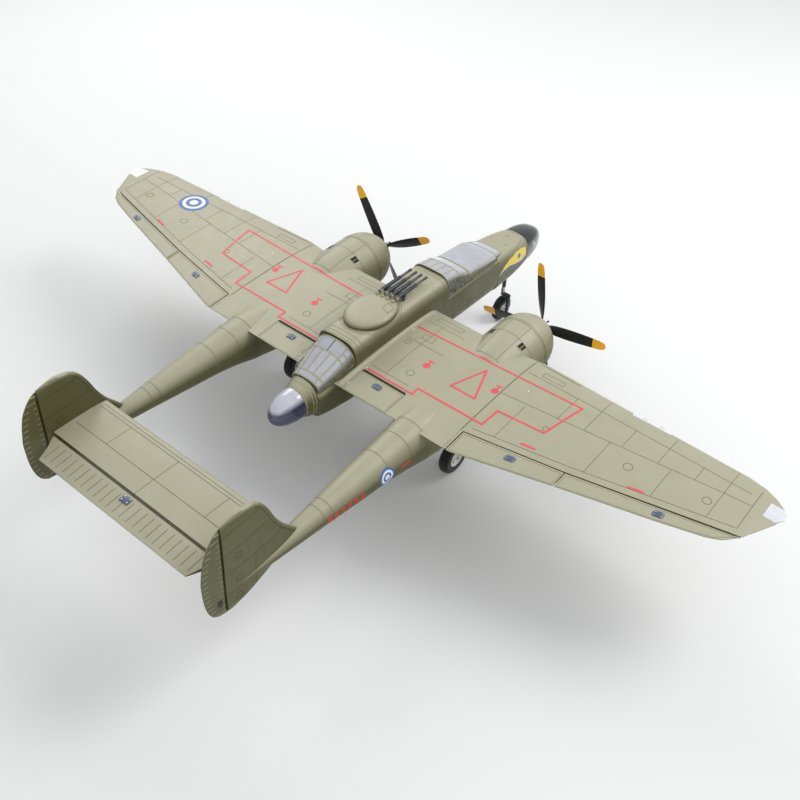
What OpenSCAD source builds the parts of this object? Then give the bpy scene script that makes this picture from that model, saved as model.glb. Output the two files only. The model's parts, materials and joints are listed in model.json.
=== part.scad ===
// Twin-boom night-fighter model aeroplane, foam airframe on retracting tricycle gear.
// Millimetres. +Z is up, the nose points to -Y and the port wing to +X.
// Stations (f) run forward from the wing's datum line, heights (z) from the wing's top skin.

/* [Wing] */
// Span over the wing tips
wing_span = 1600; // [1580:5:1640]
// Height of the wing's top skin above the ground
wing_height = 237; // [235:1:242]
// Upper camber as a share of the chord
crown = 0.035; // [0.03:0.005:0.045]
// Lower camber as a share of the chord
belly = 0.08; // [0.075:0.005:0.09]
// Diameter of the carbon main spar
spar_d = 12; // [10:1:13]

/* [Booms and engines] */
// Distance from the centre line to each boom
boom_x = 210; // [209:1:211]
// Distance of the propeller plane ahead of the wing datum
prop_f = 348; // [347:1:350]
// Radius of a propeller
prop_r = 145; // [135:1:150]
// Number of blades on each propeller
blade_count = 4; // [2:1:4]

/* [Controls] */
// Gap in front of each control surface
hinge_gap = 0.8; // [0.6:0.1:1.2]
// Bevel that lets the ailerons, elevator and rudders swing
swing_bevel = 33; // [32:1:36]
// Bevel under the flaps
flap_bevel = 44; // [43:1:46]

/* [Landing gear] */
// Outer diameter of a main wheel
main_wheel_d = 76; // [72:1:76]
// Outer diameter of the nose wheel
nose_wheel_d = 62; // [58:1:62]
// Width of a main wheel
main_wheel_w = 22; // [18:1:22]
// Width of the nose wheel
nose_wheel_w = 18; // [14:1:18]
// Radial play of every turning pin
running_gap = 0.05; // [0.03:0.01:0.08]

/* [Hidden] */

$fn = 48;
olive = "#8b8866";
olive_dark = "#6b6a45";
clear_plastic = "#c9cbd6";
black_plastic = "#1c1d20";
datum_y = 39;
half_span = wing_span / 2;
far = 400;
eps = 0.01;

// ---- Wing section and planform --------------------------------------------------
wing_top = 5;
edge_half = 0.7;
foil_steps = 12;
leading_edge = [
    [0, 206], [230, 206], [300, 214], [half_span - 82, 196], [half_span - 50, 189],
    [half_span - 27, 177], [half_span - 10, 163], [half_span, 150]
];
trailing_edge = [
    [0, -88], [300, -85], [477, -35], [half_span - 157, 9], [half_span - 82, 31],
    [half_span - 60, 42], [half_span - 39, 66], [half_span - 15, 111], [half_span, 140]
];
center_stations = [-286, -230, -160, 0, 160, 230, 286];
outer_stations = [
    286.5, 300, 380, 477, 600, half_span - 82, half_span - 60, half_span - 39,
    half_span - 27, half_span - 15, half_span - 5, half_span
];

// Control surface outlines as [x, f] corners, hinge line first
aileron_hinge = [[478, 0.5], [half_span - 40, 65]];
outer_flap_hinge = [[292, -34], [476, 0]];
inner_flap_hinge = [[58, -28], [158, -28]];
inner_hinge_z = -7.5;
outer_hinge_z = -2.5;
aileron_hinge_z = -1;
panel_gap = 1;

// ---- Bodies of the pod and booms: [f, half width, top, bottom, squareness] ------
oval_steps = 32;
pod_form = [
    [552, 38, -8, -83, 2.7], [535, 41, -4, -84, 2.9], [500, 44, 1, -85, 3.3],
    [455, 46, 6, -84, 3.8], [425, 47, 9, -83, 4.2], [423, 47, 44, -83, 4.2],
    [320, 48, 48, -80, 4.5], [120, 48, 52, -78, 4.5], [-34, 47, 50, -79, 4.5],
    [-36, 47, 8, -79, 5], [-70, 44, 0, -78, 4.5], [-121, 36, -12, -74, 4],
    [-124.5, 34, 6, -73, 2.5], [-137, 31.6, 2.5, -70.5, 2.3], [-150, 29, -2, -66, 2.1]
];
nacelle_form = [
    [268, 61, 20, -102, 2], [215, 62, 20, -103, 2], [170, 60, 15, -104, 2],
    [120, 53, 4, -104, 2.2], [60, 45, -2, -103, 2.4], [0, 44, 1, -101, 2.4],
    [-75, 42, 5, -91, 2.2]
];
boom_form = [
    [-75, 42, 5, -91, 2.2], [-110, 39, 3, -82, 2.1], [-160, 35, -1, -73, 2],
    [-240, 29, -7, -65, 2], [-330, 21, -15, -57, 2]
];
boom_end_form = [
    [-330, 21, -15, -57, 2], [-380, 17, -19, -53, 2], [-440, 12, -24, -48, 2],
    [-505, 6, -30, -42, 2]
];
fin_thickness = 12;
// Fin side view: [z, front f, rear f]
fin_form = [
    [-75, -496, -534], [-66, -462, -545], [-48, -410, -553], [-24, -362, -557],
    [-6, -374, -558], [18, -393, -558], [45, -408, -554], [75, -420, -546],
    [100, -434, -530], [113, -450, -511], [118, -472, -490]
];
rudder_line = [-520, -514];
rudder_top = 112;
rudder_bottom = -74;

// ---- Hatch, canopies and bays ---------------------------------------------------
hatch_rear = 243;
hatch_front = 540;
hatch_z = -8;
sill_z = 4;
canopy_wall = 1.2;
bay_half = 26;
nose_bay_top = -20;
main_bay_top = -19.3;

// ---- Landing gear ---------------------------------------------------------------
ground_z = -wing_height;
main_pivot = [70, -70];
nose_pivot = [534, -68];
main_axle_z = ground_z + main_wheel_d / 2;
nose_axle_z = ground_z + nose_wheel_d / 2;
pin_r = 3;
axle_r = 2;
leg_r = 4.5;
leg_offset = 17;
cheek_gap = 9;
cheek_t = 4;
steer_z = -120;
steer_r = 3;

// ---- Helpers --------------------------------------------------------------------
function signed_pow(v, p) = sign(v) * pow(abs(v), p);
function foil(t) = 10 * (0.2969 * sqrt(t) - 0.126 * t - 0.3516 * pow(t, 2)
    + 0.2843 * pow(t, 3) - 0.1036 * pow(t, 4));
function spread(i, n) = (1 - cos(180 * i / n)) / 2;

// Section of the wing at x, counter-clockwise seen from the port tip
function wing_ring(x) =
    let (front = lookup(abs(x), leading_edge),
         chord = front - lookup(abs(x), trailing_edge),
         mid = wing_top - crown * chord)
    concat(
        [for (i = [foil_steps:-1:0])
            let (t = spread(i, foil_steps))
            [x, t * chord - front, mid + crown * chord * foil(t) + edge_half]],
        [for (i = [1:foil_steps])
            let (t = spread(i, foil_steps))
            [x, t * chord - front, mid - belly * chord * foil(t) - edge_half]]);

// Section of the pod or a boom, counter-clockwise seen from the tail
function oval_ring(p) =
    let (mid = (p[2] + p[3]) / 2, high = (p[2] - p[3]) / 2)
    [for (i = [0:oval_steps - 1])
        let (a = 360 * i / oval_steps)
        [-p[1] * signed_pow(cos(a), 2 / p[4]), -p[0], mid + high * signed_pow(sin(a), 2 / p[4])]];

// Arch of a canopy on its sill: p = [f, half width, top, sill, squareness]
function arch_ring(p, inset = 0) =
    [for (i = [0:16])
        let (a = 180 * i / 16)
        [-(p[1] - inset) * signed_pow(cos(a), 2 / p[4]), -p[0],
         p[3] + (p[2] - p[3] - inset) * signed_pow(sin(a), 2 / p[4])]];

// Section of a fin at one height, counter-clockwise seen from above
function fin_ring(p) =
    let (chord = p[1] - p[2], half = min(fin_thickness / 2, 0.06 * chord + 1))
    concat(
        [for (i = [8:-1:0])
            let (t = spread(i, 8))
            [-half * foil(t) - edge_half, t * chord - p[1], p[0]]],
        [for (i = [1:8])
            let (t = spread(i, 8))
            [half * foil(t) + edge_half, t * chord - p[1], p[0]]]);

// Solid through a list of rings, each counter-clockwise seen from the last one
module loft(rings) {
    n = len(rings[0]);
    last = (len(rings) - 1) * n;
    sides = [for (j = [0:len(rings) - 2], i = [0:n - 1])
        let (a = j * n + i, b = j * n + (i + 1) % n)
        each [[a, b + n, b], [a, a + n, b + n]]];
    caps = [[for (i = [0:n - 1]) i], [for (i = [n - 1:-1:0]) last + i]];
    polyhedron([for (r = rings) each r], concat(caps, sides), convexity = 8);
}

// Moves the aeroplane's own stations onto the ground frame
module on_ground() {
    translate([0, datum_y, wing_height])
        children();
}

// Copies a port-side piece to its own side: +1 is port, -1 is starboard
module on_side(side) {
    on_ground()
        mirror([side < 0 ? 1 : 0, 0, 0])
            children();
}

module block(x, f, z) {
    translate([x[0], -f[1], z[0]])
        cube([x[1] - x[0], f[1] - f[0], z[1] - z[0]]);
}

// Upright prism over [x, f] corners
module column(corners) {
    translate([0, 0, -far / 2])
        linear_extrude(far)
            polygon([for (c = corners) [c[0], -c[1]]]);
}

module rod_x(f, z, r, x0, x1) {
    translate([x0, -f, z])
        rotate([0, 90, 0])
            cylinder(h = x1 - x0, r = r);
}

// Cylinder that runs along the aeroplane, from station f0 to f1
module rod_y(x, z, r, f0, f1) {
    translate([x, -f0, z])
        rotate([90, 0, 0])
            cylinder(h = f1 - f0, r = r);
}

module wing_loft(stations) {
    loft([for (x = stations) wing_ring(x)]);
}

// Wedges that bevel a surface's front edge above and below its hinge line
module hinge_bevel(line, z, up, down) {
    run = line[1] - line[0];
    tall = 30;
    translate([line[0][0], -line[0][1] + hinge_gap, z])
        rotate([0, 0, atan2(-run[1], run[0])])
            translate([-40, 0, 0])
                rotate([90, 0, 90])
                    linear_extrude(norm(run) + 80)
                        polygon([[0, 0], [tall * tan(up), tall], [-tall, tall],
                                 [-tall, -tall], [tall * tan(down), -tall]]);
}

// ---- Wing -----------------------------------------------------------------------
aileron_outline = [
    aileron_hinge[0], aileron_hinge[1], [aileron_hinge[1][0], -far / 2], [478, -far / 2]
];
outer_flap_outline = [
    [293.3, -33.8], outer_flap_hinge[1], [476, -far / 2], [293.3, -far / 2]
];
inner_flap_outline = [
    inner_flap_hinge[0], inner_flap_hinge[1], [158, -far / 2], [58, -far / 2]
];

// Room behind the hinge line, a panel gap wider than the surface at each end
module surface_room(line, slot = 0) {
    column([
        [line[0][0] - panel_gap, line[0][1] + slot],
        [line[1][0] + panel_gap, line[1][1] + slot],
        [line[1][0] + panel_gap, -far / 2], [line[0][0] - panel_gap, -far / 2]
    ]);
}

module servo_pocket(x, f, z, grow = 0) {
    block([x - 11.5 - grow, x + 11.5 + grow], [f - 11.5 - grow, f + 11.5 + grow],
          [z - 10, z + 1 + grow]);
}

servo_places = [[639, 74, -13], [389, 20, -16], [107, 16, -18]];
spar_f = 115;
spar_z = -10;
spar_reach = 560;
screw_places = [[300, 60], [300, 165]];

module center_wing() {
    color(olive)
        on_ground()
            difference() {
                wing_loft(center_stations);
                for (side = [0, 1])
                    mirror([side, 0, 0]) {
                        surface_room(inner_flap_hinge, 1.5);
                        servo_pocket(servo_places[2][0], servo_places[2][1], servo_places[2][2], 0.3);
                    }
                rod_x(spar_f, spar_z, spar_d / 2 + 0.05, -far, far);
            }
}

module wing_lens_room() {
    block([half_span - 32, half_span + 5], [126, 162], [-20, 20]);
    block([492, 570], [197, 230], [-25, 20]);
}

module outer_wing(side) {
    color(olive)
        on_side(side)
            difference() {
                wing_loft(outer_stations);
                surface_room(outer_flap_hinge, 1.3);
                surface_room(aileron_hinge, 1.3);
                wing_lens_room();
                for (p = [servo_places[0], servo_places[1]])
                    servo_pocket(p[0], p[1], p[2], 0.3);
                rod_x(spar_f, spar_z, spar_d / 2 + 0.05, 280, spar_reach + 0.5);
                for (p = screw_places)
                    translate([p[0], -p[1], -12])
                        cylinder(h = 40, r = 3.1);
            }
}

module wing_lights() {
    color(clear_plastic)
        for (side = [-1, 1])
            on_side(side)
                intersection() {
                    wing_loft(outer_stations);
                    wing_lens_room();
                }
}

module main_spar() {
    color(black_plastic)
        on_ground()
            difference() {
                rod_x(spar_f, spar_z, spar_d / 2, -spar_reach, spar_reach);
                rod_x(spar_f, spar_z, spar_d / 2 - 1, -spar_reach - 1, spar_reach + 1);
            }
}

module wing_screws() {
    color("silver")
        for (side = [-1, 1])
            on_side(side)
                for (p = screw_places)
                    translate([p[0], -p[1], 0])
                        difference() {
                            union() {
                                translate([0, 0, -12])
                                    cylinder(h = 15, r = 1.5);
                                translate([0, 0, 2])
                                    cylinder(h = 2, r = 3);
                            }
                            translate([0, 0, 3.4])
                                cube([4, 0.8, 1.4], center = true);
                        }
}

module servos() {
    color(black_plastic)
        for (side = [-1, 1])
            on_side(side) {
                for (p = servo_places)
                    servo_pocket(p[0], p[1], p[2]);
                block([boom_x - 6, boom_x + 6], [-312, -290], [-46, -30]);
            }
}

// ---- Control surfaces -----------------------------------------------------------
module wing_surface(line, outline, z, up, down, stations) {
    difference() {
        intersection() {
            wing_loft(stations);
            column(outline);
        }
        hinge_bevel(line, z, up, down);
    }
}

module aileron(side) {
    color(olive)
        on_side(side)
            wing_surface(aileron_hinge, aileron_outline, aileron_hinge_z,
                         swing_bevel, swing_bevel, outer_stations);
}

module outer_flap(side) {
    color(olive)
        on_side(side)
            wing_surface(outer_flap_hinge, outer_flap_outline, outer_hinge_z,
                         12, flap_bevel, outer_stations);
}

module inner_flap(side) {
    color(olive)
        on_side(side)
            wing_surface(inner_flap_hinge, inner_flap_outline, inner_hinge_z,
                         12, flap_bevel, center_stations);
}

// Plate on the top skin and lever below it, clamped through the foam by two screws
module horn(side, x, f, top, bottom, turn, stations) {
    color("#5a6880")
        on_side(side)
            difference() {
                translate([x, -f, 0])
                    rotate([0, 0, -turn]) {
                        translate([-6.5, -5, top - 3])
                            cube([13, 10, 4.4]);
                        translate([-6.5, -5, bottom - 1.4])
                            cube([13, 10, 4.4]);
                        translate([-1, -5, bottom - 14])
                            difference() {
                                cube([2, 8, 15.6]);
                                translate([-1, 2.5, 3])
                                    rotate([0, 90, 0])
                                        cylinder(h = 4, r = 0.8);
                            }
                    }
                wing_loft(stations);
            }
}

module aileron_horn(side) {
    horn(side, 639, 26, 0.9, -6.9, 13, outer_stations);
}

module outer_flap_horn(side) {
    horn(side, 389, -29, -0.9, -11.9, 10.5, outer_stations);
}

module inner_flap_horn(side) {
    horn(side, 107, -42, -0.7, -14.7, 0, center_stations);
}

// ---- Pod ------------------------------------------------------------------------
module pod_loft() {
    loft([for (p = pod_form) oval_ring(p)]);
}

module pod_shell() {
    color(olive_dark)
        on_ground()
            difference() {
                pod_loft();
                wing_loft(center_stations);
                block([-60, 60], [hatch_rear, hatch_front], [hatch_z, 80]);
                block([-bay_half, bay_half], [212, 356], [-64, 30]);
                block([-27, 24], [360, 548], [-120, nose_bay_top]);
            }
}

// Rounded cone: base at station f, closing over a length towards the nose (+1) or tail (-1)
module blunt_cone(f, length, w, z, up, down, dir, e) {
    steps = 7;
    order = dir > 0 ? [steps:-1:0] : [0:1:steps];
    loft([for (i = order)
        let (a = 12.5 * i, k = pow(cos(a), 0.85))
        oval_ring([f + dir * length * sin(a), w * k, z + up * k, z - down * k, 2 + (e - 2) * k])]);
}

module nose_cone() {
    color(black_plastic)
        on_ground()
            blunt_cone(552.1, 84, 38, -45.5, 37.5, 37.5, 1, 2.7);
}

module tail_cone() {
    color(clear_plastic)
        on_ground()
            blunt_cone(-150.1, 61, 29, -34, 32, 32, -1, 2.1);
}

// Low dome on the spine, an oval that shrinks as it rises
module dome_loft() {
    loft([for (p = [[49, 1], [54, 1], [58, 0.96], [61, 0.87], [63, 0.7], [64, 0.45]])
        [for (i = [0:39])
            let (a = 9 * i)
            [45 * p[1] * cos(a), 60 * p[1] * sin(a) - 60, p[0]]]]);
}

module turret_dome() {
    color(olive)
        on_ground()
            difference() {
                dome_loft();
                pod_loft();
            }
}

gun_x = [-19.5, -6.5, 6.5, 19.5];
gun_z = 65;

module turret_guns() {
    color(black_plastic)
        on_ground()
            difference() {
                union() {
                    for (x = gun_x) {
                        rod_y(x, gun_z, 2.8, 100, 204);
                        rod_y(x, gun_z, 3.8, 100, 170);
                    }
                    block([-24, 24], [126, 134], [51, 65]);
                }
                pod_loft();
                dome_loft();
                for (x = gun_x)
                    rod_y(x, gun_z, 1.6, 194, 205);
                block([-22.5, 22.5], [125, 135], [52, 60]);
            }
}

// Clear hood with an open underside, through a list of arches
module hood(form) {
    color(clear_plastic)
        on_ground()
            difference() {
                loft([for (p = form) arch_ring(p)]);
                translate([0, 0, -eps])
                    loft([for (i = [0:len(form) - 1])
                        let (p = form[i], end = i == 0 ? -1 : (i == len(form) - 1 ? 1 : 0))
                        arch_ring([p[0] + end * canopy_wall, p[1], p[2], p[3], p[4]], canopy_wall)]);
            }
}

module rear_canopy() {
    hood([[-36.1, 46, 46.5, 8.1, 2.5], [-70, 43, 31, 0.1, 2.5], [-120.5, 34, 7, -11.6, 2.5]]);
}

module pilot_canopy() {
    hood([[450, 30, 7.5, sill_z, 4], [436, 35, 12, sill_z, 4], [422, 39, 17.5, sill_z, 4],
          [406, 45, 21, sill_z, 4], [318, 46, 32, sill_z, 4]]);
}

module gunner_canopy() {
    hood([[317, 46, 32.4, sill_z, 4], [286, 46, 45.5, sill_z, 4],
          [hatch_rear + 1, 46, 54, sill_z, 4]]);
}

module battery_hatch() {
    color(olive)
        on_ground()
            difference() {
                intersection() {
                    pod_loft();
                    block([-60, 60], [hatch_rear + 0.4, hatch_front - 0.4], [hatch_z, 80]);
                }
                block([-60, 60], [200, 452], [sill_z, 80]);
                block([-30, 30], [250, 410], [hatch_z - 1, -2]);
            }
}

module battery() {
    color("#2d4a8c")
        on_ground()
            block([-20, 20], [249, 353], [-64, -32]);
}

module receiver() {
    color("#30343a")
        on_ground()
            block([-17, 17], [214, 238], [-20, 0]);
}

// ---- Nacelles, booms and tail ---------------------------------------------------
module side_loft(form) {
    translate([boom_x, 0, 0])
        loft([for (p = form) oval_ring(p)]);
}

module main_bay() {
    block([boom_x - 22, boom_x + 16], [-102, main_pivot[0] + 14], [-130, main_bay_top]);
}

module nacelle(side) {
    color(olive)
        on_side(side)
            difference() {
                side_loft(nacelle_form);
                wing_loft(center_stations);
                main_bay();
                rod_y(boom_x, -41, 40, 212, 270);
            }
}

module boom(side) {
    color(olive_dark)
        on_side(side)
            difference() {
                side_loft(boom_form);
                wing_loft(center_stations);
                main_bay();
                block([boom_x - 7, boom_x + 7], [-313, -289], [-47, -29]);
            }
}

// Engine cowl: a thin shell that curls in to the air intake
module engine_cowls() {
    outer = [[268.1, 61.5], [285, 60], [301, 55.5], [315, 48], [326, 39], [332, 32], [334, 27]];
    inner = [[331, 26], [323, 36], [312, 45], [299, 52.5], [284, 57], [268.1, 58.5]];
    color(olive)
        for (side = [-1, 1])
            on_side(side)
                translate([boom_x, 0, -41])
                    rotate([90, 0, 0])
                        rotate_extrude($fn = 96)
                            polygon([for (p = concat(outer, inner)) [p[1], p[0]]]);
}

module fin_loft() {
    translate([boom_x + 2, 0, 0])
        loft([for (p = fin_form) fin_ring(p)]);
}

function rudder_f(z) = rudder_line[0]
    + (rudder_line[1] - rudder_line[0]) * (z - rudder_bottom) / (rudder_top - rudder_bottom);

// Everything behind the rudder's hinge line, moved back by a slot
module rudder_room(slot, low, high) {
    translate([boom_x - 30, 0, 0])
        rotate([90, 0, 90])
            linear_extrude(64)
                polygon([[-rudder_f(low) + slot, low], [-rudder_f(high) + slot, high],
                         [far * 2, high], [far * 2, low]]);
}

module fin(side) {
    color(olive)
        on_side(side)
            difference() {
                union() {
                    side_loft(boom_end_form);
                    fin_loft();
                }
                rudder_room(-1.2, rudder_bottom - 10, rudder_top);
            }
}

module rudder(side) {
    tilt = atan2(rudder_line[1] - rudder_line[0], rudder_top - rudder_bottom);
    color(olive_dark)
        on_side(side)
            difference() {
                intersection() {
                    fin_loft();
                    rudder_room(hinge_gap, rudder_bottom, rudder_top - 0.8);
                }
                translate([boom_x + 2, -rudder_f(0) + hinge_gap, 0])
                    rotate([tilt, 0, 0])
                        translate([0, 0, -far / 2])
                            linear_extrude(far)
                                polygon([[0, 0], [20, 20 * tan(swing_bevel)], [20, -30],
                                         [-20, -30], [-20, 20 * tan(swing_bevel)]]);
            }
}

tail_z = 14;
tail_half = 7;
elevator_f = -506;
// Stabilizer section: [f, half thickness]
tail_section = [
    [-396, 1], [-400, 4], [-412, 6], [-440, tail_half], [elevator_f, 6], [-556, 0.9]
];

module tail_plane(reach) {
    translate([-reach, 0, tail_z])
        rotate([90, 0, 90])
            linear_extrude(2 * reach)
                polygon(concat(
                    [for (p = tail_section) [-p[0], p[1]]],
                    [for (i = [len(tail_section) - 1:-1:0])
                        [-tail_section[i][0], -tail_section[i][1]]]));
}

module stabilizer() {
    color(olive)
        on_ground()
            difference() {
                tail_plane(208);
                block([-220, 220], [-600, elevator_f + 1.2], [-60, 60]);
                for (side = [0, 1])
                    mirror([side, 0, 0])
                        fin_loft();
            }
}

elevator_outline = [
    [-197, elevator_f], [197, elevator_f], [197, -513], [184, -534], [176, -557],
    [-176, -557], [-184, -534], [-197, -513]
];

module elevator() {
    color(olive)
        on_ground()
            difference() {
                intersection() {
                    tail_plane(200);
                    column(elevator_outline);
                }
                hinge_bevel([[-200, elevator_f], [200, elevator_f]], tail_z,
                            swing_bevel, swing_bevel);
            }
}

// ---- Power ----------------------------------------------------------------------
shaft_r = 2.5;
tip_r = 2;
motor_z = -41;
stator_f = [272, 296];

// Fixed half of each motor: mounting plate, boss and stator around the shaft's bore
module motor_mounts() {
    color("silver")
        for (side = [-1, 1])
            on_side(side)
                difference() {
                    union() {
                        rod_y(boom_x, motor_z, 39.9, 262, 267);
                        rod_y(boom_x, motor_z, 8, 266, 272);
                        rod_y(boom_x, motor_z, 14, stator_f[0], stator_f[1]);
                    }
                    rod_y(boom_x, motor_z, shaft_r + running_gap, 200, 400);
                    for (i = [0:3])
                        translate([boom_x, 0, motor_z])
                            rotate([0, 90 * i + 45, 0])
                                translate([30, -270, 0])
                                    rotate([90, 0, 0])
                                        cylinder(h = 20, r = 1.6, center = true);
                }
}

// Turning can of the motor with its shaft
module motor_bell(side) {
    color("#3a3d42")
        on_side(side)
            union() {
                difference() {
                    rod_y(boom_x, motor_z, 17.5, 274, 305);
                    rod_y(boom_x, motor_z, 15, 273, 298);
                }
                rod_y(boom_x, motor_z, shaft_r, 264, prop_f + 16);
                rod_y(boom_x, motor_z, tip_r, prop_f + 15, prop_f + 24);
            }
}

blade_pitch = 16;
hub_r = 9;

// Section of a blade at radius r, counter-clockwise seen from the tip
function blade_ring(u) =
    let (r = hub_r - 2 + u * (prop_r - hub_r + 2),
         chord = 9 + 13 * sin(20 + 125 * pow(u, 0.8)) * (u > 0.9 ? 1 - 5.5 * (u - 0.9) : 1),
         thick = 4 * (1 - 0.75 * u),
         turn = atan2(blade_pitch, 0.62 * r) * 0.9)
    [for (i = [0:11])
        let (a = 30 * i, p = chord / 2 * cos(a), q = thick / 2 * sin(a))
        [p * cos(turn) - q * sin(turn), p * sin(turn) + q * cos(turn), r]];

module blade() {
    loft([for (i = [0:9]) blade_ring(i / 9)]);
}

module propeller(side, rest_turn) {
    color(black_plastic)
        on_side(side)
            translate([boom_x, -prop_f, motor_z])
                rotate([0, rest_turn, 0])
                    difference() {
                        union() {
                            for (i = [0:blade_count - 1])
                                rotate([0, 360 / blade_count * i, 0])
                                    blade();
                            rod_y(0, 0, hub_r, -5, 6);
                        }
                        rod_y(0, 0, shaft_r, -20, 20);
                    }
}

module prop_nut(side) {
    color("silver")
        on_side(side)
            difference() {
                union() {
                    translate([boom_x, -prop_f - 6, motor_z])
                        rotate([90, 0, 0])
                            cylinder(h = 5, r = 5, $fn = 6);
                    translate([boom_x, -prop_f - 11, motor_z])
                        rotate([90, 0, 0])
                            cylinder(h = 5, r1 = 4.6, r2 = 3.4);
                }
                rod_y(boom_x, motor_z, shaft_r, prop_f - 10, prop_f + 20);
            }
}

module speed_controls() {
    color("#b03030")
        for (side = [-1, 1])
            on_side(side)
                block([boom_x - 13, boom_x + 13], [214, 258], [-78, -68]);
}

// ---- Landing gear ---------------------------------------------------------------
// Two bored cheeks and a bridge that carry a leg's trunnion pin
module retract_unit(x, pivot) {
    difference() {
        union() {
            for (s = [-1, 1])
                block([x + s * (cheek_gap + cheek_t / 2) - cheek_t / 2,
                       x + s * (cheek_gap + cheek_t / 2) + cheek_t / 2],
                      [pivot[0] - 7, pivot[0] + 13], [pivot[1] - 7, pivot[1] + 14]);
            block([x - cheek_gap - cheek_t, x + cheek_gap + cheek_t],
                  [pivot[0] + 8, pivot[0] + 13], [pivot[1] - 7, pivot[1] + 14]);
        }
        rod_x(pivot[0], pivot[1], pin_r + running_gap, x - 40, x + 40);
    }
}

module retract_units() {
    color("#9aa0a6")
        on_ground() {
            for (side = [0, 1])
                mirror([side, 0, 0])
                    retract_unit(boom_x, main_pivot);
            retract_unit(0, nose_pivot);
        }
}

// Head, pin and upper leg that swing up together
module leg_top(x, pivot, foot_z) {
    rod_x(pivot[0], pivot[1], 6, x - cheek_gap + 0.5, x + cheek_gap - 0.5);
    rod_x(pivot[0], pivot[1], pin_r, x - cheek_gap - cheek_t, x + cheek_gap + cheek_t);
    translate([x, -pivot[0], foot_z])
        cylinder(h = pivot[1] - foot_z, r = leg_r);
}

// One-sided arm that steps round the tyre and ends in the wheel's axle
module leg_arm(x, f, top_z, axle_z, wheel_w) {
    knee = leg_offset - 4;
    block([x - leg_offset - 2.5, x + 4], [f - 4, f + 4], [top_z - 7, top_z]);
    block([x - leg_offset - 2.5, x - knee], [f - 4, f + 4], [axle_z - 5, top_z - 6]);
    rod_x(f, axle_z, axle_r, x - leg_offset, x + wheel_w / 2 + 2.5);
}

module nose_strut() {
    color(black_plastic)
        on_ground()
            difference() {
                leg_top(0, nose_pivot, steer_z);
                translate([0, -nose_pivot[0], steer_z - 1])
                    cylinder(h = 31, r = steer_r + running_gap);
            }
}

module nose_fork() {
    color(black_plastic)
        on_ground()
            union() {
                translate([0, -nose_pivot[0], steer_z - 12])
                    cylinder(h = 40, r = steer_r);
                translate([0, -nose_pivot[0], steer_z - 42])
                    cylinder(h = 41.7, r = leg_r);
                leg_arm(0, nose_pivot[0], steer_z - 42, nose_axle_z, nose_wheel_w);
            }
}

module main_strut(side) {
    color(black_plastic)
        on_side(side)
            union() {
                leg_top(boom_x, main_pivot, main_axle_z + main_wheel_d / 2 + 10);
                leg_arm(boom_x, main_pivot[0], main_axle_z + main_wheel_d / 2 + 11,
                        main_axle_z, main_wheel_w);
            }
}

module tyre(d, w, rim_r) {
    rotate([0, 90, 0])
        rotate_extrude($fn = 96)
            polygon(concat(
                [[rim_r, -w / 2 + 1], [rim_r, w / 2 - 1]],
                [for (i = [0:8])
                    let (a = 90 - 22.5 * i)
                    [d / 2 - 7 + 7 * cos(a), (w / 2) * sin(a)]]));
}

module hub(w, rim_r) {
    rotate([0, 90, 0])
        difference() {
            cylinder(h = w - 2, r = rim_r, center = true);
            for (s = [-1, 1])
                translate([0, 0, s * w / 2])
                    difference() {
                        cylinder(h = 8, r = rim_r - 2, center = true);
                        cylinder(h = 9, r = 5, center = true);
                    }
            cylinder(h = w + 2, r = axle_r + running_gap, center = true);
        }
}

main_rim_r = 20;
nose_rim_r = 15;

module main_tyre(side) {
    color(black_plastic)
        on_side(side)
            translate([boom_x, -main_pivot[0], main_axle_z])
                tyre(main_wheel_d, main_wheel_w, main_rim_r);
}

module main_hub(side) {
    color("white")
        on_side(side)
            translate([boom_x, -main_pivot[0], main_axle_z])
                hub(main_wheel_w, main_rim_r);
}

module nose_tyre() {
    color(black_plastic)
        on_ground()
            translate([0, -nose_pivot[0], nose_axle_z])
                tyre(nose_wheel_d, nose_wheel_w, nose_rim_r);
}

module nose_hub() {
    color("white")
        on_ground()
            translate([0, -nose_pivot[0], nose_axle_z])
                hub(nose_wheel_w, nose_rim_r);
}

// Rest angles of the two propellers
rest_turn_right = -10.1;
rest_turn_left = 30.9;

pod_shell();
nose_cone();
turret_dome();
turret_guns();
rear_canopy();
tail_cone();
center_wing();
outer_wing(1);  // outer_wing_left
outer_wing(-1);  // outer_wing_right
main_spar();
nacelle(1);  // nacelle_left
nacelle(-1);  // nacelle_right
engine_cowls();
boom(1);  // boom_left
boom(-1);  // boom_right
fin(1);  // fin_left
fin(-1);  // fin_right
stabilizer();
motor_mounts();
speed_controls();
battery();
receiver();
servos();
wing_lights();
retract_units();
wing_screws();
battery_hatch();
pilot_canopy();
gunner_canopy();
propeller(1, rest_turn_left);  // propeller_left
propeller(-1, rest_turn_right);  // propeller_right
prop_nut(1);  // prop_nut_left
prop_nut(-1);  // prop_nut_right
motor_bell(1);  // motor_bell_left
motor_bell(-1);  // motor_bell_right
aileron(1);  // aileron_left
aileron(-1);  // aileron_right
outer_flap(1);  // outer_flap_left
outer_flap(-1);  // outer_flap_right
inner_flap(1);  // inner_flap_left
inner_flap(-1);  // inner_flap_right
elevator();
rudder(1);  // rudder_left
rudder(-1);  // rudder_right
aileron_horn(1);  // aileron_horn_left
aileron_horn(-1);  // aileron_horn_right
outer_flap_horn(1);  // outer_flap_horn_left
outer_flap_horn(-1);  // outer_flap_horn_right
inner_flap_horn(1);  // inner_flap_horn_left
inner_flap_horn(-1);  // inner_flap_horn_right
nose_strut();
nose_fork();
nose_tyre();
nose_hub();
main_strut(1);  // main_strut_left
main_strut(-1);  // main_strut_right
main_tyre(1);  // main_tyre_left
main_tyre(-1);  // main_tyre_right
main_hub(1);  // main_hub_left
main_hub(-1);  // main_hub_right
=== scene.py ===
"""Twin-boom model night fighter: detailed pieces, finishes, light and camera on the CAD frame."""

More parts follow.
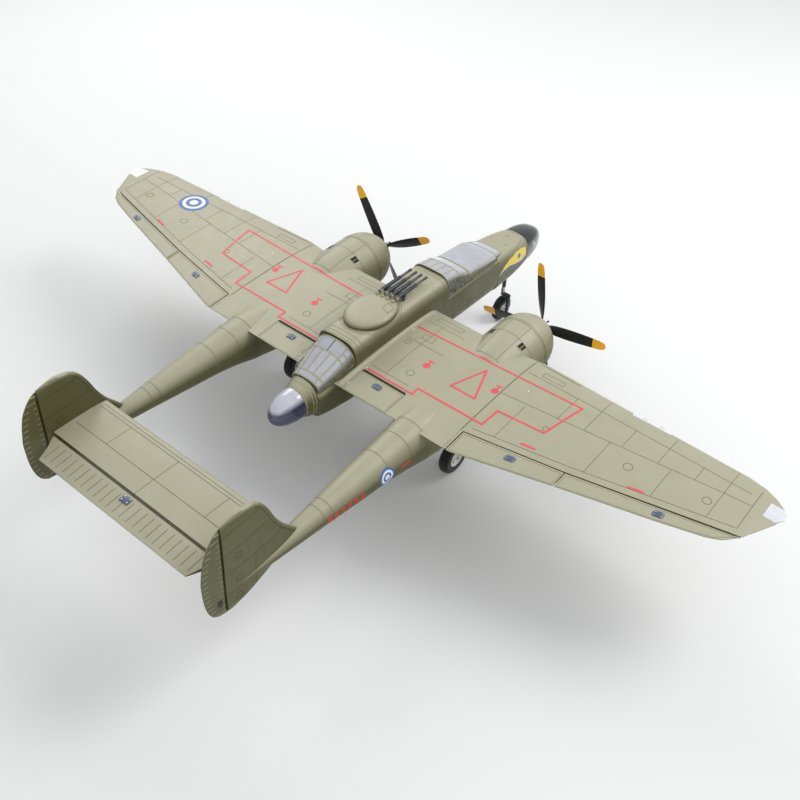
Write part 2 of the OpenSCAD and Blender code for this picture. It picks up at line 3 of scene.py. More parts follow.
import json
import logging
import math
from dataclasses import dataclass, field
from enum import Enum
from functools import partial
from typing import Callable, ClassVar, Sequence

import bmesh
import bpy
from mathutils import Matrix, Vector

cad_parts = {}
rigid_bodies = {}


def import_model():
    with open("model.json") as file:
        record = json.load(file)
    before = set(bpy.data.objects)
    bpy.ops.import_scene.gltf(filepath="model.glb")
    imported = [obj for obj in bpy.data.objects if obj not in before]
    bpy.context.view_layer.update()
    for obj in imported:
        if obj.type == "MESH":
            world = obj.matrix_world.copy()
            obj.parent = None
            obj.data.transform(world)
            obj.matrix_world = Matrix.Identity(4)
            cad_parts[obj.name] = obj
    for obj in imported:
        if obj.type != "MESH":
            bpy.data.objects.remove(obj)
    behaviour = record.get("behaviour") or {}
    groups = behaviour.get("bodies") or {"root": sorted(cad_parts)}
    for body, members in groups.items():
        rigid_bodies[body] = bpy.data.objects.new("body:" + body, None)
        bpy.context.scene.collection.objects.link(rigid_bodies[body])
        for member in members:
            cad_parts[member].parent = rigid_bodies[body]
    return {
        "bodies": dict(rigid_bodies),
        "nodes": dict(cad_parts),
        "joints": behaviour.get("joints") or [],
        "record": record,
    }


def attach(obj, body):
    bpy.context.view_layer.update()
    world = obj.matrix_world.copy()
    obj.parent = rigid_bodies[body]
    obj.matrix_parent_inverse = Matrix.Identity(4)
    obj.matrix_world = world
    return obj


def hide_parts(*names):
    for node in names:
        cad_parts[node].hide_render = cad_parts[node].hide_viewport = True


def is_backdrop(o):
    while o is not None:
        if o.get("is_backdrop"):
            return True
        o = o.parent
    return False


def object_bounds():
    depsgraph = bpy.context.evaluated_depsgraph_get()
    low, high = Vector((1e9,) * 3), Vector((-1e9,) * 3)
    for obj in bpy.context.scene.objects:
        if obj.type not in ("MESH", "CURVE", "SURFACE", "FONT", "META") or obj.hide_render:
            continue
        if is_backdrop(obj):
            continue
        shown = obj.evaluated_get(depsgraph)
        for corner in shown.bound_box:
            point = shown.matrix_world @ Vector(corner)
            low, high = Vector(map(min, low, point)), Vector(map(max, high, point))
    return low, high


LOG = logging.getLogger("warbird")
MM = 0.001
Point = tuple[float, float]
Table = tuple[tuple[float, ...], ...]


class Side(Enum):
    """The two sides of the aeroplane, with the sign of their X."""

    LEFT = 1
    RIGHT = -1

    @property
    def word(self) -> str:
        """The side's name as the CAD nodes spell it."""
        return self.name.lower()


@dataclass(frozen=True)
class Datum:
    """Turns the aeroplane's stations into the frame's metres.

    Stations run forward from the wing datum and heights up from the wing's top skin, in mm.
    """

    forward: float = 39.0
    height: float = 237.0

    def at(self, x: float, f: float, z: float) -> Vector:
        """Gives the frame's point for a spanwise place, a station and a height."""
        return Vector((x, self.forward - f, z + self.height)) * MM


DATUM = Datum()


def straight(table: Table, key: float) -> float:
    """Reads a two-column table with straight lines between its rows.

    Args:
        table: Rows of (key, value) in rising order of key.
        key: Where to read it.

    Returns:
        The value, held level past the table's ends.
    """
    if key <= table[0][0]:
        return table[0][1]
    for (k0, v0), (k1, v1) in zip(table, table[1:]):
        if key <= k1:
            return v0 + (v1 - v0) * (key - k0) / (k1 - k0)
    return table[-1][1]


def flowing(table: Table, key: float) -> tuple[float, ...]:
    """Reads a table with a smooth curve through its rows that never overshoots them.

    Args:
        table: Rows of (key, value, ...) in rising or falling order of key.
        key: Where to read it.

    Returns:
        One value for each column after the key.
    """
    rows = sorted(table)
    key = min(max(key, rows[0][0]), rows[-1][0])
    i = max(0, min(len(rows) - 2, sum(1 for r in rows if r[0] < key) - 1))
    a, b = rows[i], rows[i + 1]
    span = b[0] - a[0]
    t = (key - a[0]) / span

    def slope(k: int, column: int) -> float:
        """Slope of a column at row k, level where it turns."""
        if k == 0 or k == len(rows) - 1:
            j = min(k, len(rows) - 2)
            return (rows[j + 1][column] - rows[j][column]) / (rows[j + 1][0] - rows[j][0])
        before = (rows[k][column] - rows[k - 1][column]) / (rows[k][0] - rows[k - 1][0])
        after = (rows[k + 1][column] - rows[k][column]) / (rows[k + 1][0] - rows[k][0])
        return 0.0 if before * after <= 0 else 2 * before * after / (before + after)

    out = []
    for column in range(1, len(a)):
        m0, m1 = slope(i, column) * span, slope(i + 1, column) * span
        out.append(
            (2 * t**3 - 3 * t**2 + 1) * a[column]
            + (t**3 - 2 * t**2 + t) * m0
            + (3 * t**2 - 2 * t**3) * b[column]
            + (t**3 - t**2) * m1
        )
    return tuple(out)


def steps(start: float, end: float, size: float) -> list[float]:
    """Even stations from start to end, no further apart than size."""
    count = max(1, math.ceil(abs(end - start) / size))
    return [start + (end - start) * i / count for i in range(count + 1)]


def eased(front: float, rear: float, count: int) -> list[float]:
    """Stations from front to rear that crowd together near the front."""
    return [front - (front - rear) * (1 - math.cos(math.pi / 2 * i / count)) for i in range(count + 1)]


def level(station: float) -> Callable[[float], float]:
    """An edge that stays at one station all along the span."""
    return lambda _: station


def mirrored(side: float, *path: Point) -> list[Point]:
    """A path of (spanwise place, station) on the side with that sign."""
    return [(side * x, f) for x, f in path]


def bulge(share: float, square: float) -> float:
    """Height of a squared-off circle of size 1 at a share of its half width."""
    return (1 - share**square) ** (1 / square)


def swell(c: float, s: float, square: float) -> float:
    """How far a squared-off circle of size 1 reaches in the direction (c, s)."""
    return (abs(c) ** square + abs(s) ** square) ** (-1 / square)


# ---- Skins ------------------------------------------------------------------------------


class Skin:
    """An outer surface of the aeroplane that marks and lines can be laid on."""

    def point(self, u: float, v: float) -> Vector:
        """The surface's point, in metres, for the skin's own two coordinates."""
        raise NotImplementedError

    def inside(self, u: float, v: float) -> Vector:
        """A point inside the body, on the other side of the surface at (u, v)."""
        raise NotImplementedError

    def lifted(self, u: float, v: float, lift: float) -> Vector:
        """The surface's point moved out along its normal by a lift in metres."""
        step = 0.05
        here = self.point(u, v)
        along = self.point(u + step, v) - self.point(u - step, v)
        across = self.point(u, v + step) - self.point(u, v - step)
        normal = along.cross(across).normalized()
        if normal.dot(here - self.inside(u, v)) < 0:
            normal = -normal
        return here + normal * lift


@dataclass(frozen=True)
class WingSkin(Skin):
    """Top or bottom skin of the wing, read by spanwise place and station."""

    upper: bool = True
    top: float = 5.0
    crown: float = 0.035
    belly: float = 0.08
    edge: float = 0.7
    front: Table = (
        (0, 206), (230, 206), (300, 214), (718, 196), (750, 189), (773, 177), (790, 163), (800, 150),
    )
    rear: Table = (
        (0, -88), (300, -85), (477, -35), (643, 9), (718, 31), (740, 42), (761, 66), (785, 111),
        (800, 140),
    )

    @staticmethod
    def foil(t: float) -> float:
        """Half thickness of the section at a share of the chord, 1 at its thickest."""
        t = min(max(t, 0.0), 1.0)
        return 10 * (0.2969 * math.sqrt(t) - 0.126 * t - 0.3516 * t**2 + 0.2843 * t**3 - 0.1036 * t**4)

    def edges(self, x: float) -> Point:
        """Stations of the leading and trailing edge at a spanwise place."""
        return straight(self.front, abs(x)), straight(self.rear, abs(x))

    def height(self, x: float, f: float, upper: bool) -> float:
        """Height of the top or bottom skin."""
        lead, trail = self.edges(x)
        chord = lead - trail
        mid = self.top - self.crown * chord
        thick = self.foil((lead - f) / chord) * chord
        return mid + self.crown * thick + self.edge if upper else mid - self.belly * thick - self.edge

    def point(self, u: float, v: float) -> Vector:
        """The skin at spanwise place u and station v."""
        return DATUM.at(u, v, self.height(u, v, self.upper))

    def inside(self, u: float, v: float) -> Vector:
        """The middle of the section under the skin."""
        return DATUM.at(u, v, (self.height(u, v, True) + self.height(u, v, False)) / 2)


@dataclass(frozen=True)
class HullSkin(Skin):
    """Skin of a pod, nacelle or boom, read by station and by angle from starboard over the top.

    Each row of form is (station, half width, top, bottom, squareness).
    """

    form: Table
    center: float = 0.0

    def measures(self, f: float) -> tuple[float, float, float, float]:
        """Half width, middle height, half height and squareness of the section at a station."""
        wide, top, bottom, square = flowing(self.form, f)
        return wide, (top + bottom) / 2, (top - bottom) / 2, square

    def shape(self, f: float, angle: float) -> Point:
        """Sideways offset and height at a station and an angle in degrees."""
        wide, middle, high, square = self.measures(f)
        c, s = math.cos(math.radians(angle)), math.sin(math.radians(angle))
        reach = swell(c, s, square)
        return -wide * c * reach, middle + high * s * reach

    def point(self, u: float, v: float) -> Vector:
        """The skin at station u and angle v."""
        x, z = self.shape(u, v)
        return DATUM.at(self.center + x, u, z)

    def inside(self, u: float, v: float) -> Vector:
        """The middle of the section at that station."""
        return DATUM.at(self.center, u, self.measures(u)[1])

    def ring(self, f: float, count: int, low: float = -999.0, high: float = 999.0) -> list[Vector]:
        """One closed section, cut flat at a lowest and a highest height.

        Args:
            f: The station.
            count: How many points go round.
            low: Nothing reaches lower than this height.
            high: Nothing reaches higher than this height.

        Returns:
            The points, in order round the section.
        """
        wide, middle, half, square = self.measures(f)
        share = min(1.0, abs(low - middle) / half) if low > -999 else 0.0
        brim = wide * bulge(share, square)
        out = []
        for i in range(count):
            x, z = self.shape(f, 360 * i / count)
            if z < low:
                x = min(max(x, -brim), brim)
            out.append(DATUM.at(self.center + x, f, min(max(z, low), high)))
        return out


@dataclass(frozen=True)
class HullFlank(Skin):
    """One flank of a hull, read by station and height."""

    hull: HullSkin
    side: Side

    def point(self, u: float, v: float) -> Vector:
        """The flank at station u and height v."""
        wide, middle, high, square = self.hull.measures(u)
        share = min(0.999, abs(v - middle) / high)
        reach = wide * bulge(share, square)
        return DATUM.at(self.hull.center + self.side.value * reach, u, v)

    def inside(self, u: float, v: float) -> Vector:
        """The hull's middle plane."""
        return DATUM.at(self.hull.center, u, v)


@dataclass(frozen=True)
class HullDeck(Skin):
    """Top or underside of a hull, read by sideways offset and station."""

    hull: HullSkin
    upper: bool = True

    def point(self, u: float, v: float) -> Vector:
        """The deck at offset u and station v."""
        wide, middle, high, square = self.hull.measures(v)
        share = min(0.999, abs(u) / wide)
        rise = high * bulge(share, square)
        return DATUM.at(self.hull.center + u, v, middle + rise * (1 if self.upper else -1))

    def inside(self, u: float, v: float) -> Vector:
        """The hull's middle height."""
        return DATUM.at(self.hull.center + u, v, self.hull.measures(v)[1])


@dataclass(frozen=True)
class HoodSkin(Skin):
    """Skin of a canopy, read by station and by angle from starboard over the top.

    Each row of form is (station, half width, top, sill).
    """

    form: Table
    square: float = 4.0

    def column(self, index: int, f: float) -> float:
        """One measure of the form at a station."""
        return straight(tuple((r[0], r[index]) for r in self.form), f)

    def shape(self, f: float, angle: float) -> Point:
        """Sideways place and height at a station and an angle in degrees."""
        wide, top, sill = (self.column(k, f) for k in (1, 2, 3))
        c, s = math.cos(math.radians(angle)), max(0.0, math.sin(math.radians(angle)))
        reach = swell(c, s, self.square)
        return -wide * c * reach, sill + (top - sill) * s * reach

    def point(self, u: float, v: float) -> Vector:
        """The canopy at station u and angle v."""
        x, z = self.shape(u, v)
        return DATUM.at(x, u, z)

    def inside(self, u: float, v: float) -> Vector:
        """The canopy's middle at its sill."""
        return DATUM.at(0.0, u, self.column(3, u))


@dataclass(frozen=True)
class Blanket(Skin):
    """The wing's top skin, and a hull's deck wherever that stands higher."""

    wing: WingSkin
    hulls: tuple[HullSkin, ...]

    def point(self, u: float, v: float) -> Vector:
        """The upper of the two at spanwise place u and station v."""
        z = self.wing.height(u, v, True)
        for hull in self.hulls:
            wide, middle, high, square = hull.measures(v)
            share = abs(u - hull.center) / wide
            if share < 0.99 and hull.form[-1][0] < v < hull.form[0][0]:
                z = max(z, middle + high * bulge(share, square))
        return DATUM.at(u, v, z)

    def inside(self, u: float, v: float) -> Vector:
        """A point well under the skin."""
        return DATUM.at(u, v, -60)


@dataclass(frozen=True)
class FinSkin(Skin):
    """Side skin of a fin and rudder, read by height and station.

    Each row of form is (height, front station, rear station).
    """

    side: Side
    outer: bool = True
    center: float = 212.0
    thickness: float = 12.0
    edge: float = 0.7
    form: Table = (
        (-75, -496, -534), (-66, -462, -545), (-48, -410, -553), (-24, -362, -557), (-6, -374, -558),
        (18, -393, -558), (45, -408, -554), (75, -420, -546), (100, -434, -530), (113, -450, -511),
        (118, -472, -490),
    )

    def lead(self, z: float) -> float:
        """Front station at a height."""
        return flowing(self.form, z)[0]

    def trail(self, z: float) -> float:
        """Rear station at a height."""
        return flowing(self.form, z)[1]

    def half(self, z: float, f: float) -> float:
        """Half thickness at a height and a station."""
        lead, trail = flowing(self.form, z)
        chord = lead - trail
        full = min(self.thickness / 2, 0.06 * chord + 1)
        return full * WingSkin.foil((lead - f) / chord) + self.edge

    def place(self, z: float, f: float, outward: float) -> Vector:
        """A point at an outward distance from the fin's middle plane."""
        return DATUM.at(self.side.value * (self.center + outward), f, z)

    def point(self, u: float, v: float) -> Vector:
        """The skin at height u and station v."""
        return self.place(u, v, self.half(u, v) * (1 if self.outer else -1))

    def inside(self, u: float, v: float) -> Vector:
        """The middle plane of the fin."""
        return self.place(u, v, 0.0)


@dataclass(frozen=True)
class TailSkin(Skin):
    """Top or bottom skin of the stabilizer and elevator, read by spanwise place and station."""

    upper: bool = True
    middle: float = 14.0
    form: Table = ((-396, 1.0), (-400, 4.0), (-412, 6.0), (-440, 7.0), (-506, 6.0), (-556, 0.9))

    def half(self, f: float) -> float:
        """Half thickness at a station."""
        return flowing(self.form, f)[0]

    def point(self, u: float, v: float) -> Vector:
        """The skin at spanwise place u and station v."""
        return DATUM.at(u, v, self.middle + self.half(v) * (1 if self.upper else -1))

    def inside(self, u: float, v: float) -> Vector:
        """The middle of the section."""
        return DATUM.at(u, v, self.middle)


# ---- Mesh making --------------------------------------------------------------------------


class Shaper:
    """One piece while it is shaped: a bmesh in metres, with a material number for each face."""

    def __init__(self, name: str) -> None:
        """Starts an empty piece.

        Args:
            name: The piece's name in the scene.
        """
        self.name = name
        self.bm = bmesh.new()

    def sheet(self, rows: Sequence[Sequence[Vector]], around: bool = False, closed: bool = False,
              paint: int = 0) -> list[bmesh.types.BMVert]:
        """Adds a grid of faces through rows of points.

        Args:
            rows: Points, all rows of one length.
            around: Joins the two ends of each row.
            closed: Fills the first and last row with a face.
            paint: Material number of the faces.

        Returns:
            The new vertices that are left after merging.
        """
        if around:
            rows = [list(row) + [row[0]] for row in rows]
        wide, high = len(rows[0]) - 1, len(rows) - 1
        made = bmesh.ops.create_grid(self.bm, x_segments=wide, y_segments=high, size=1.0)["verts"]
        for vert in made:
            i = round((vert.co.x + 1) / 2 * wide)
            j = round((vert.co.y + 1) / 2 * high)
            vert.co = rows[j][i]
        faces = {face for vert in made for face in vert.link_faces}
        bmesh.ops.remove_doubles(self.bm, verts=made, dist=1e-6)
        faces = [face for face in faces if face.is_valid]
        if closed:
            rim = [e for e in {e for f in faces for e in f.edges} if e.is_boundary]
            faces += bmesh.ops.holes_fill(self.bm, edges=rim, sides=0)["faces"]
        for face in faces:
            face.material_index = paint
        return [vert for vert in made if vert.is_valid]

    def box(self, low: Vector, high: Vector, paint: int = 0, round_mm: float = 0.0) -> None:
        """Adds a block between two corners, with its edges rounded."""
        made = bmesh.ops.create_cube(self.bm, size=1.0)["verts"]
        size = high - low
        for vert in made:
            vert.co = Vector((low[k] + (vert.co[k] + 0.5) * size[k] for k in range(3)))
        self._soften(made, paint, round_mm, 2)

    def rod(self, start: Vector, end: Vector, radius: float, far_radius: float | None = None,
            paint: int = 0, sides: int = 32, round_mm: float = 0.0) -> None:
        """Adds a round rod or cone between two points, radii in mm.

        Args:
            start: Middle of the first end.
            end: Middle of the second end.
            radius: Radius at the start.
            far_radius: Radius at the end, the same where it isn't given.
            paint: Material number.
            sides: How many sides go round.
            round_mm: Width of the rounding on the end edges.
        """
        run = end - start
        turn = Vector((0, 0, 1)).rotation_difference(run).to_matrix().to_4x4()
        made = bmesh.ops.create_cone(
            self.bm, cap_ends=True, segments=sides, radius1=radius * MM,
            radius2=(radius if far_radius is None else far_radius) * MM, depth=run.length,
            matrix=Matrix.Translation((start + end) / 2) @ turn,
        )["verts"]
        self._soften(made, paint, round_mm, 2, caps_only=True)

    def ball(self, middle: Vector, radius: float, paint: int = 0, squash: float = 1.0) -> None:
        """Adds a small ball, its radius in mm, flattened along Z."""
        made = bmesh.ops.create_uvsphere(
            self.bm, u_segments=20, v_segments=12, radius=radius * MM,
            matrix=Matrix.Translation(middle) @ Matrix.Diagonal((1, 1, squash, 1)),
        )["verts"]
        self._soften(made, paint, 0.0, 1)

    def lathe(self, profile: Sequence[Point], middle: Vector, axis: Vector, count: int = 64) -> None:
        """Spins an outline of (radius, distance along the axis) in mm round an axis.

        Args:
            profile: The outline; a point on the axis closes that end.
            middle: Where distance zero lies.
            axis: The axis's direction.
            count: How many steps go round.
        """
        turn = Vector((0, 0, 1)).rotation_difference(axis).to_matrix().to_4x4()
        matrix = Matrix.Translation(middle) @ turn
        chain = [self.bm.verts.new(matrix @ Vector((r * MM, 0, d * MM))) for r, d in profile]
        edges = [self.bm.edges.new(pair) for pair in zip(chain, chain[1:])]
        made = bmesh.ops.spin(
            self.bm, geom=chain + edges, cent=middle, axis=axis.normalized(), angle=math.tau,
            steps=count, use_merge=True,
        )
        verts = set(chain) | {g for g in made["geom_last"] if isinstance(g, bmesh.types.BMVert)}
        todo, seen = list(verts), set(verts)
        while todo:
            for edge in todo.pop().link_edges:
                for vert in edge.verts:
                    if vert not in seen:
                        seen.add(vert)
                        todo.append(vert)
        bmesh.ops.remove_doubles(self.bm, verts=list(seen), dist=1e-6)

    def _soften(self, verts: list, paint: int, round_mm: float, segments: int,
                caps_only: bool = False) -> None:
        """Paints new faces and rounds their sharp edges."""
        faces = {face for vert in verts for face in vert.link_faces}
        for face in faces:
            face.material_index = paint
        if round_mm <= 0:
            return
        edges = {edge for face in faces for edge in face.edges}
        if caps_only:
            edges = {e for e in edges if any(len(f.verts) > 4 for f in e.link_faces)}
        bmesh.ops.bevel(
            self.bm, geom=list(edges), offset=round_mm * MM, segments=segments, profile=0.5,
            affect="EDGES", material=-1, clamp_overlap=True,
        )

    def ribbon(self, skin: Skin, path: Sequence[Point], width: float, lift: float = 0.12,
               paint: int = 0, loop: bool = False, spacing: float = 6.0) -> None:
        """Lays a thin strip on a skin along a path.

        Args:
            skin: The skin it lies on.
            path: Corners in the skin's coordinates.
            width: The strip's width in mm.
            lift: How far it stands off the skin in mm.
            paint: Material number.
            loop: Joins the last corner to the first.
            spacing: Longest step between its points.
        """
        corners = list(path) + ([path[0]] if loop else [])
        line: list[Point] = []
        for a, b in zip(corners, corners[1:]):
            count = max(1, math.ceil(math.dist(a, b) / spacing))
            line += [(a[0] + (b[0] - a[0]) * k / count, a[1] + (b[1] - a[1]) * k / count)
                     for k in range(count)]
        line.append(corners[-1])
        spots = [skin.lifted(u, v, lift * MM) for u, v in line]
        rows = []
        for i, (u, v) in enumerate(line):
            if loop and i in (0, len(line) - 1):
                ahead, behind = spots[1], spots[-2]
            else:
                ahead, behind = spots[min(i + 1, len(spots) - 1)], spots[max(i - 1, 0)]
            before = (spots[i] - behind).normalized()
            after = (ahead - spots[i]).normalized()
            along = (before + after).normalized() if (before + after).length > 1e-6 else after
            out = (skin.lifted(u, v, (lift + 1) * MM) - spots[i]).normalized()
            across = along.cross(out).normalized()
            bend = max(0.5, across.dot(after.cross(out).normalized())) if after.length > 0 else 1.0
            half = across * (width / 2 * MM / bend)
            rows.append([spots[i] - half, spots[i] + half])
        self.sheet(rows, paint=paint)

    def patch(self, skin: Skin, corners: Sequence[Point], lift: float = 0.12, paint: int = 0,
              spacing: float = 8.0) -> None:
        """Lays a four-cornered patch on a skin.

        Args:
            skin: The skin it lies on.
            corners: Four corners in the skin's coordinates, in order.
            lift: How far it stands off the skin in mm.
            paint: Material number.
            spacing: Longest step between its points.
        """
        a, b, c, d = corners
        across = max(1, math.ceil(max(math.dist(a, b), math.dist(d, c)) / spacing))
        along = max(1, math.ceil(max(math.dist(b, c), math.dist(a, d)) / spacing))
        rows = []
        for j in range(along + 1):
            t = j / along
            row = []
            for i in range(across + 1):
                s = i / across
                u = (a[0] * (1 - s) + b[0] * s) * (1 - t) + (d[0] * (1 - s) + c[0] * s) * t
                v = (a[1] * (1 - s) + b[1] * s) * (1 - t) + (d[1] * (1 - s) + c[1] * s) * t
                row.append(skin.lifted(u, v, lift * MM))
            rows.append(row)
        self.sheet(rows, paint=paint)

    def disc(self, skin: Skin, middle: Point, radius: float, hole: float = 0.0, lift: float = 0.12,
             paint: int = 0) -> None:
        """Lays a disc or a ring on a skin.

        Args:
            skin: The skin it lies on.
            middle: Its middle in the skin's coordinates.
            radius: Outer radius in mm.
            hole: Inner radius in mm.
            lift: How far it stands off the skin in mm.
            paint: Material number.
        """
        rings = [hole + (radius - hole) * k / 3 for k in range(4)]
        rows = [
            [skin.lifted(middle[0] + r * math.cos(a), middle[1] + r * math.sin(a), lift * MM)
             for a in (math.tau * i / 40 for i in range(40))]
            for r in rings
        ]
        self.sheet(rows, around=True, paint=paint)

    @staticmethod
    def carve(obj: bpy.types.Object, low: Vector, high: Vector) -> None:
        """Cuts a block of room out of a finished object."""
        tool = Shaper("carving_block")
        tool.box(low, high)
        mesh = bpy.data.meshes.new("carving_block")
        tool.bm.to_mesh(mesh)
        tool.bm.free()
        block = bpy.data.objects.new("carving_block", mesh)
        bpy.context.scene.collection.objects.link(block)
        cut = obj.modifiers.new("bay", "BOOLEAN")
        cut.operation, cut.object, cut.solver = "DIFFERENCE", block, "EXACT"
        bpy.context.view_layer.update()
        graph = bpy.context.evaluated_depsgraph_get()
        shaped = bpy.data.meshes.new_from_object(obj.evaluated_get(graph))
        obj.modifiers.remove(cut)
        obj.data = shaped
        bpy.data.objects.remove(block)

    def object(self, dressing: Sequence["Finish"], angle: float = 32.0) -> bpy.types.Object:
        """Turns the shape into a scene object with its materials.

        Args:
            dressing: One finish for each material number.
            angle: Edges sharper than this, in degrees, stay crisp.

        Returns:
            The new object, at the origin.
        """
        bmesh.ops.recalc_face_normals(self.bm, faces=self.bm.faces)
        mesh = bpy.data.meshes.new(self.name)
        self.bm.to_mesh(mesh)
        self.bm.free()
        mesh.shade_smooth()
        mesh.set_sharp_from_angle(angle=math.radians(angle))
        for finish in dressing:
            mesh.materials.append(finish.material())
        obj = bpy.data.objects.new(self.name, mesh)
        bpy.context.scene.collection.objects.link(obj)
        return obj


# ---- Finishes -----------------------------------------------------------------------------


def linear(code: str) -> tuple[float, float, float, float]:
    """Turns an sRGB hex colour into linear RGBA."""
    parts = (int(code[i:i + 2], 16) / 255 for i in (1, 3, 5))
    return (*(p / 12.92 if p <= 0.04045 else ((p + 0.055) / 1.055) ** 2.4 for p in parts), 1.0)


def grain(size_mm: float) -> float:
    """Texture scale whose pattern repeats about every size_mm."""
    return 1000.0 / size_mm


class Graph:
    """A material's node tree while it is being wired."""

    def __init__(self, name: str) -> None:
        """Starts an empty material of that name."""
        self.material = bpy.data.materials.new(name)
        self.material.use_nodes = True
        self.tree = self.material.node_tree
        self.tree.nodes.clear()

    def add(self, kind: str, inputs: dict | None = None, **settings: object) -> bpy.types.Node:
        """Adds a shader node.

        Args:
            kind: The node's type without its ShaderNode prefix.
            inputs: Values or output sockets for its inputs, by name or number.
            settings: The node's own properties.

        Returns:
            The new node.
        """
        node = self.tree.nodes.new("ShaderNode" + kind)
        for key, value in settings.items():
            setattr(node, key, value)
        for key, value in (inputs or {}).items():
            if isinstance(value, bpy.types.NodeSocket):
                self.tree.links.new(value, node.inputs[key])
            else:
                node.inputs[key].default_value = value
        return node

    def upward(self, low: float, high: float) -> bpy.types.NodeSocket:
        """How much a face looks up: 0 up to low, 1 from high on."""
        normal = self.add("TexCoord").outputs["Normal"]
        up = self.add("SeparateXYZ", {0: normal}).outputs["Z"]
        return self.add("MapRange", {"Value": up, "From Min": low, "From Max": high}).outputs["Result"]


@dataclass(frozen=True)
class Finish:
    """A real material and how it was worked."""

    name: str
    color: str
    roughness: float = 0.5
    speckle_mm: float = 1.2
    relief_mm: float = 0.03
    mottle: float = 0.08
    cloud_mm: float = 45.0

    def material(self) -> bpy.types.Material:
        """The finish's material, made the first time it is asked for."""
        known = bpy.data.materials.get(self.name)
        if known:
            return known
        graph = Graph(self.name)
        out = graph.add("OutputMaterial")
        graph.tree.links.new(self.surface(graph), out.inputs["Surface"])
        return graph.material

    def colour(self, graph: Graph, here: bpy.types.NodeSocket) -> bpy.types.NodeSocket:
        """Wires the plain colour, before mottling."""
        node = graph.add("RGB")
        node.outputs[0].default_value = linear(self.color)
        return node.outputs[0]

    def mottled(self, graph: Graph, here: bpy.types.NodeSocket) -> bpy.types.NodeSocket:
        """Lightens and darkens the colour in soft clouds with a fine fleck."""
        cloud = graph.add("TexNoise", {"Vector": here, "Scale": grain(self.cloud_mm), "Detail": 6.0,
                                       "Roughness": 0.62}).outputs["Fac"]
        fleck = graph.add("TexNoise", {"Vector": here, "Scale": grain(self.speckle_mm),
                                       "Detail": 2.0}).outputs["Fac"]
        both = graph.add("Math", {0: cloud, 1: fleck}, operation="ADD").outputs[0]
        level = graph.add("MapRange", {"Value": both, "From Min": 0.6, "From Max": 1.4,
                                       "To Min": 1 - self.mottle, "To Max": 1 + self.mottle})
        return graph.add("HueSaturation", {"Color": self.colour(graph, here),
                                           "Value": level.outputs["Result"]}).outputs["Color"]

    def rough(self, graph: Graph, here: bpy.types.NodeSocket) -> bpy.types.NodeSocket:
        """Wires roughness that wanders with handling marks."""
        wear = graph.add("TexNoise", {"Vector": here, "Scale": grain(self.cloud_mm / 2), "Detail": 8.0,
                                      "Distortion": 0.6}).outputs["Fac"]
        return graph.add("MapRange", {"Value": wear, "From Min": 0.3, "From Max": 0.7,
                                      "To Min": self.roughness * 0.82,
                                      "To Max": min(1.0, self.roughness * 1.18)}).outputs["Result"]

    def relief(self, graph: Graph, here: bpy.types.NodeSocket) -> bpy.types.NodeSocket:
        """Wires the fine surface texture."""
        fine = graph.add("TexNoise", {"Vector": here, "Scale": grain(self.speckle_mm),
                                      "Detail": 3.0}).outputs["Fac"]
        return graph.add("Bump", {"Height": fine, "Strength": 0.6,
                                  "Distance": self.relief_mm * MM}).outputs["Normal"]

    def uniform(self) -> dict[str, object]:
        """Values set straight on the shader."""
        return {}

    def surface(self, graph: Graph) -> bpy.types.NodeSocket:
        """Wires the whole shader."""
        here = graph.add("TexCoord").outputs["Object"]
        inputs = {"Base Color": self.mottled(graph, here), "Roughness": self.rough(graph, here),
                  "Normal": self.relief(graph, here), **self.uniform()}
        return graph.add("BsdfPrincipled", inputs).outputs["BSDF"]


@dataclass(frozen=True)
class FoamPaint(Finish):
    """Sprayed moulded foam: beads under the paint, with a painted highlight that lightens the faces
    turned up.
    """

    # Colour of the painted highlight on the faces turned up
    faded: str = "#A5A183"
    bead_mm: float = 3.2

    def colour(self, graph: Graph, here: bpy.types.NodeSocket) -> bpy.types.NodeSocket:
        """Blends the paint towards the painted highlight colour on the upward faces."""
        return graph.add("Mix", {0: graph.upward(0.15, 0.92), 6: linear(self.color),
                                 7: linear(self.faded)}, data_type="RGBA").outputs[2]

    def relief(self, graph: Graph, here: bpy.types.NodeSocket) -> bpy.types.NodeSocket:
        """Foam beads that just show through the paint, under a fine spray texture."""
        bead = graph.add("TexVoronoi", {"Vector": here, "Scale": grain(self.bead_mm)},
                         feature="SMOOTH_F1").outputs["Distance"]
        under = graph.add("Bump", {"Height": bead, "Strength": 0.35,
                                   "Distance": 0.05 * MM}).outputs["Normal"]
        fine = graph.add("TexNoise", {"Vector": here, "Scale": grain(self.speckle_mm),
                                      "Detail": 3.0}).outputs["Fac"]
        return graph.add("Bump", {"Height": fine, "Strength": 0.5, "Distance": self.relief_mm * MM,
                                  "Normal": under}).outputs["Normal"]

    def uniform(self) -> dict[str, object]:
        """A thin satin coat over the paint."""
        return {"Coat Weight": 0.15, "Coat Roughness": 0.35, "Specular IOR Level": 0.45}


@dataclass(frozen=True)
class Gloss(Finish):
    """Moulded plastic or enamel with a polished skin."""

    coat: float = 0.6

    def uniform(self) -> dict[str, object]:
        """A clear gloss over the colour."""
        return {"Coat Weight": self.coat, "Coat Roughness": 0.08, "Specular IOR Level": 0.5}


@dataclass(frozen=True)
class Metal(Finish):
    """Machined metal with fine tool lines."""

    line_mm: float = 0.5

    def relief(self, graph: Graph, here: bpy.types.NodeSocket) -> bpy.types.NodeSocket:
        """Close turning lines."""
        lines = graph.add("TexWave", {"Vector": here, "Scale": grain(self.line_mm) / 20,
                                      "Distortion": 1.5, "Detail": 3.0}, bands_direction="Y")
        return graph.add("Bump", {"Height": lines.outputs["Fac"], "Strength": 0.25,
                                  "Distance": self.relief_mm * MM}).outputs["Normal"]

    def uniform(self) -> dict[str, object]:
        """Bare metal."""
        return {"Metallic": 1.0}


